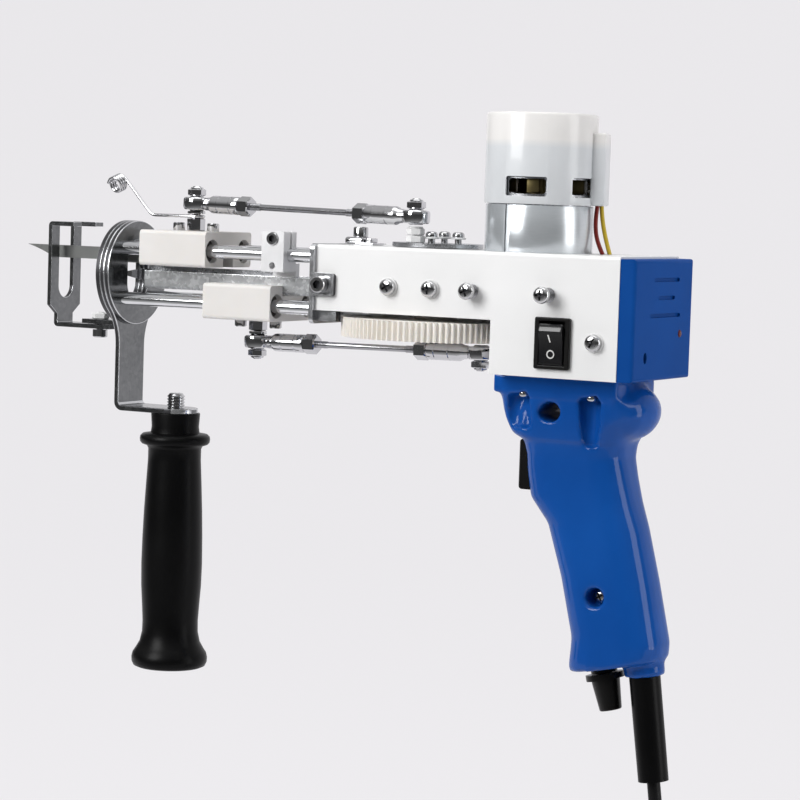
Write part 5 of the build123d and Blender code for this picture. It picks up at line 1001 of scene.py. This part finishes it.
# Under the housing the front stands further forward and the sides further out
shoulder_z, flange_z = 37.6, 57.4
forward_steps = ((shoulder_z, 0.0), (40.4, 3.4), (47.0, 4.0), (50.0, 3.5), (57.0, 1.1), (66.0, 1.1))
for corner in grip.data.vertices:
    x, y, z = (v / mm for v in corner.co)
    if z > shoulder_z:
        for (low, near), (high, far) in zip(forward_steps, forward_steps[1:]):
            if low <= z <= high:
                forward = near + (far - near) * (z - low) / (high - low)
                corner.co.x -= forward * mm * min(1, max(0, (-14 - x) / 12))
        if z < 56.8 and abs(y) > 8:
            corner.co.y += math.copysign(0.9 * mm * min(1, (z - shoulder_z) / 1.6), y)
# A leaning scoop gives room to each screw of the flange
for x, level, top in ((0.2, 44.6, 4.6), (-31.2, 43.5, 4.2)):
    for side in (-1, 1):
        scoop = turned("scoop", [(1.2, level - 0.8), (2.7, level), (top, flange_z)])
        scoop.data.transform(at(x, side * 18, flange_z) @ spun(-15, "Y") @ at(0, 0, -flange_z))
        tooled(grip, scoop)
closed(grip, 0.75)
softened(grip, "rounding", 40, rounding)
softened(grip, "heel", 70, heel)
tooled(grip, bar("pocket", (-45, -6.5, 15.9), (-20.5, 6.5, 37.8)))
finished(grip, "blue", "frame", "blue_plastic", "grip_left", "grip_right", angle=50)


# The mains cord and its coil follow the route of the solid tube, in metres
relief_direction = Vector((5.7, 0, -42.8)).normalized()
cord_start = Vector((0.0275, 0, -0.0998)) - relief_direction * 0.004
cord_bend = cord_start + relief_direction * 0.032
slant_down = Vector((-1, 0, -1)).normalized()
cord_end = cord_bend + slant_down * 0.032
coil_entry = cord_end + slant_down * 0.006
coil_outer = 0.036
coil_centre = coil_entry - coil_outer * Vector((math.cos(0.75 * math.pi), 0, math.sin(0.75 * math.pi)))
coil_shares = (1.0, 0.914, 0.828, 0.714, 0.714, 0.828, 0.914, 1.028, 1.028, 0.914, 0.8, 0.8, 0.914, 1.0,
               1.11)
layer_step = 0.0061
points_per_half = 8
cord_points = [cord_start, cord_start.lerp(cord_bend, 0.45), cord_bend, cord_bend.lerp(cord_end, 0.55)]
layer = 0
swing = 1 / math.cos(math.pi / points_per_half / 2)
for half, (near, far) in enumerate(zip(coil_shares, coil_shares[1:])):
    climbs = near == far
    for step in range(points_per_half):
        share = (step + 0.5) / points_per_half
        angle = (0.75 + half + share) * math.pi
        radius = coil_outer * (near + (far - near) * (0.5 - 0.5 * math.cos(share * math.pi))) * swing
        rise = layer + (share * share * (3 - 2 * share) if climbs else 0)
        cord_points.append(coil_centre + Vector((radius * math.cos(angle), rise * layer_step,
                                                 radius * math.sin(angle))))
    layer += climbs
last_radius = coil_outer * coil_shares[-1]
exit_point = coil_centre + Vector((-last_radius, layer * layer_step, 0))
plug_entry = exit_point - Vector((0, 0, 0.030))
cord_points += [exit_point, exit_point.lerp(plug_entry, 0.5), plug_entry - Vector((0, 0, -0.0045))]
mains_cord = wire("mains_cord_line", cord_points, 0.00275, 3, 8, 6)
mains_cord.data.materials.append(finishes["cord"])
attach(mains_cord, "frame")
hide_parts("mains_cord", "cord_coil")


# The camera stands where the photograph was taken from
camera_azimuth = math.radians(28.58)
camera_rise = math.radians(4.25)
camera_roll = math.radians(1.88)
camera_distance = 1.1528
focal_pixels = 2686.9
camera_target = Vector((-0.0969, 0, 0.0492))
back = Vector((math.sin(camera_azimuth) * math.cos(camera_rise),
               -math.cos(camera_azimuth) * math.cos(camera_rise), math.sin(camera_rise)))
right = Vector((math.cos(camera_azimuth), math.sin(camera_azimuth), 0))
upward = back.cross(right)
camera_x = math.cos(camera_roll) * right + math.sin(camera_roll) * upward
camera_y = -math.sin(camera_roll) * right + math.cos(camera_roll) * upward
lens = bpy.data.cameras.new("camera")
lens.sensor_width = 36
lens.lens = focal_pixels * 36 / 800
camera = bpy.data.objects.new("camera", lens)
bpy.context.scene.collection.objects.link(camera)
camera.matrix_world = Matrix.Translation(camera_target + camera_distance * back) @ Matrix(
    (camera_x, camera_y, back)).transposed().to_4x4()
bpy.context.scene.camera = camera

# Studio: a pale sweep of floor and wall that metal reflects too, and three soft lamps
bpy.context.scene.view_settings.view_transform = "Standard"
backdrop_colour = (0.871, 0.857, 0.880)


def lit_paper(shading, shader, output, share, *rays):
    """Some kinds of rays see mostly the paper's own colour, all others the lit paper."""
    path = shading.tree.nodes.new("ShaderNodeLightPath")
    seen = Value(shading, path.outputs[rays[0]])
    for ray in rays[1:]:
        seen = seen.joined("MAXIMUM", seen, Value(shading, path.outputs[ray]))
    kind = "ShaderNodeBackground" if shader.type == "BACKGROUND" else "ShaderNodeEmission"
    glow = shading.node(kind, {}, Color=backdrop_colour, Strength=1.0)
    blend = shading.node("ShaderNodeMixShader", {}, seen * share, Value(shading, shader.outputs[0]), glow)
    shading.put(output.inputs["Surface"], blend)


world = bpy.data.worlds.new("studio")
world.use_nodes = True
bpy.context.scene.world = world
room = Shading(world.node_tree)
sky = room.tree.nodes["Background"]
height = room.node("ShaderNodeSeparateXYZ", {}, room.node("ShaderNodeTexCoord"), out=2)
room_stops = ((0.0, 0.85), (0.30, 0.35), (0.44, 0.08), (0.55, 0.05), (0.66, 0.22), (0.80, 0.50),
              (1.0, 0.60))
room.put(sky.inputs["Color"], room.node("ShaderNodeValToRGB", {"stops": room_stops}, height * 0.5 + 0.5))
sky.inputs["Strength"].default_value = 1.0
lit_paper(room, sky, room.tree.nodes["World Output"], 1.0, "Is Camera Ray")

# The sweep: a floor under the lowest point of the machine that curves up behind it
floor_z = cad_box[0][2] - 0.001
sweep_profile = [(-0.32, floor_z), (1.6, floor_z)]
for step in range(1, 9):
    turn = step / 8 * math.pi / 2
    sweep_profile.append((1.6 + math.sin(turn), floor_z + 1.0 - math.cos(turn)))
sweep_profile.append((2.6, floor_z + 3.0))
sweep = bpy.data.meshes.new("paper_sweep")
sweep_points = [(side * 4.0, y, z) for side in (-1, 1) for y, z in sweep_profile]
row = len(sweep_profile)
sweep.from_pydata(sweep_points, [], [(k, row + k, row + k + 1, k + 1) for k in range(row - 1)])
paper = bpy.data.objects.new("paper_sweep", sweep)
bpy.context.scene.collection.objects.link(paper)
for face in sweep.polygons:
    face.use_smooth = True
paper_finish = Finish("paper")
sweep.materials.append(paper_finish.surface(Base_Color=(0.84, 0.83, 0.85), Roughness=0.9))
lit_paper(paper_finish, paper_finish.shader, paper_finish.tree.nodes["Material Output"], 0.9,
          "Is Camera Ray", "Is Glossy Ray", "Is Transmission Ray")


def softbox(name, place, aim, size, watts):
    """A square soft lamp that points at a place on the object."""
    light = bpy.data.lights.new(name, "AREA")
    light.shape = "RECTANGLE"
    light.size, light.size_y = size
    light.energy = watts
    lamp = bpy.data.objects.new(name, light)
    bpy.context.scene.collection.objects.link(lamp)
    lamp.location = place
    lamp.rotation_euler = (Vector(aim) - Vector(place)).to_track_quat("-Z", "Y").to_euler()
    return lamp


softbox("key_lamp", (-0.56, -1.05, 0.60), (-0.05, 0, 0.10), (0.62, 0.70), 13)
softbox("fill_lamp", (1.1, 0.10, 0.25), (0, 0, 0), (0.42, 1.0), 5)
softbox("top_lamp", (-0.1, -0.1, 1.2), (-0.1, 0, 0.05), (1.2, 0.9), 5)
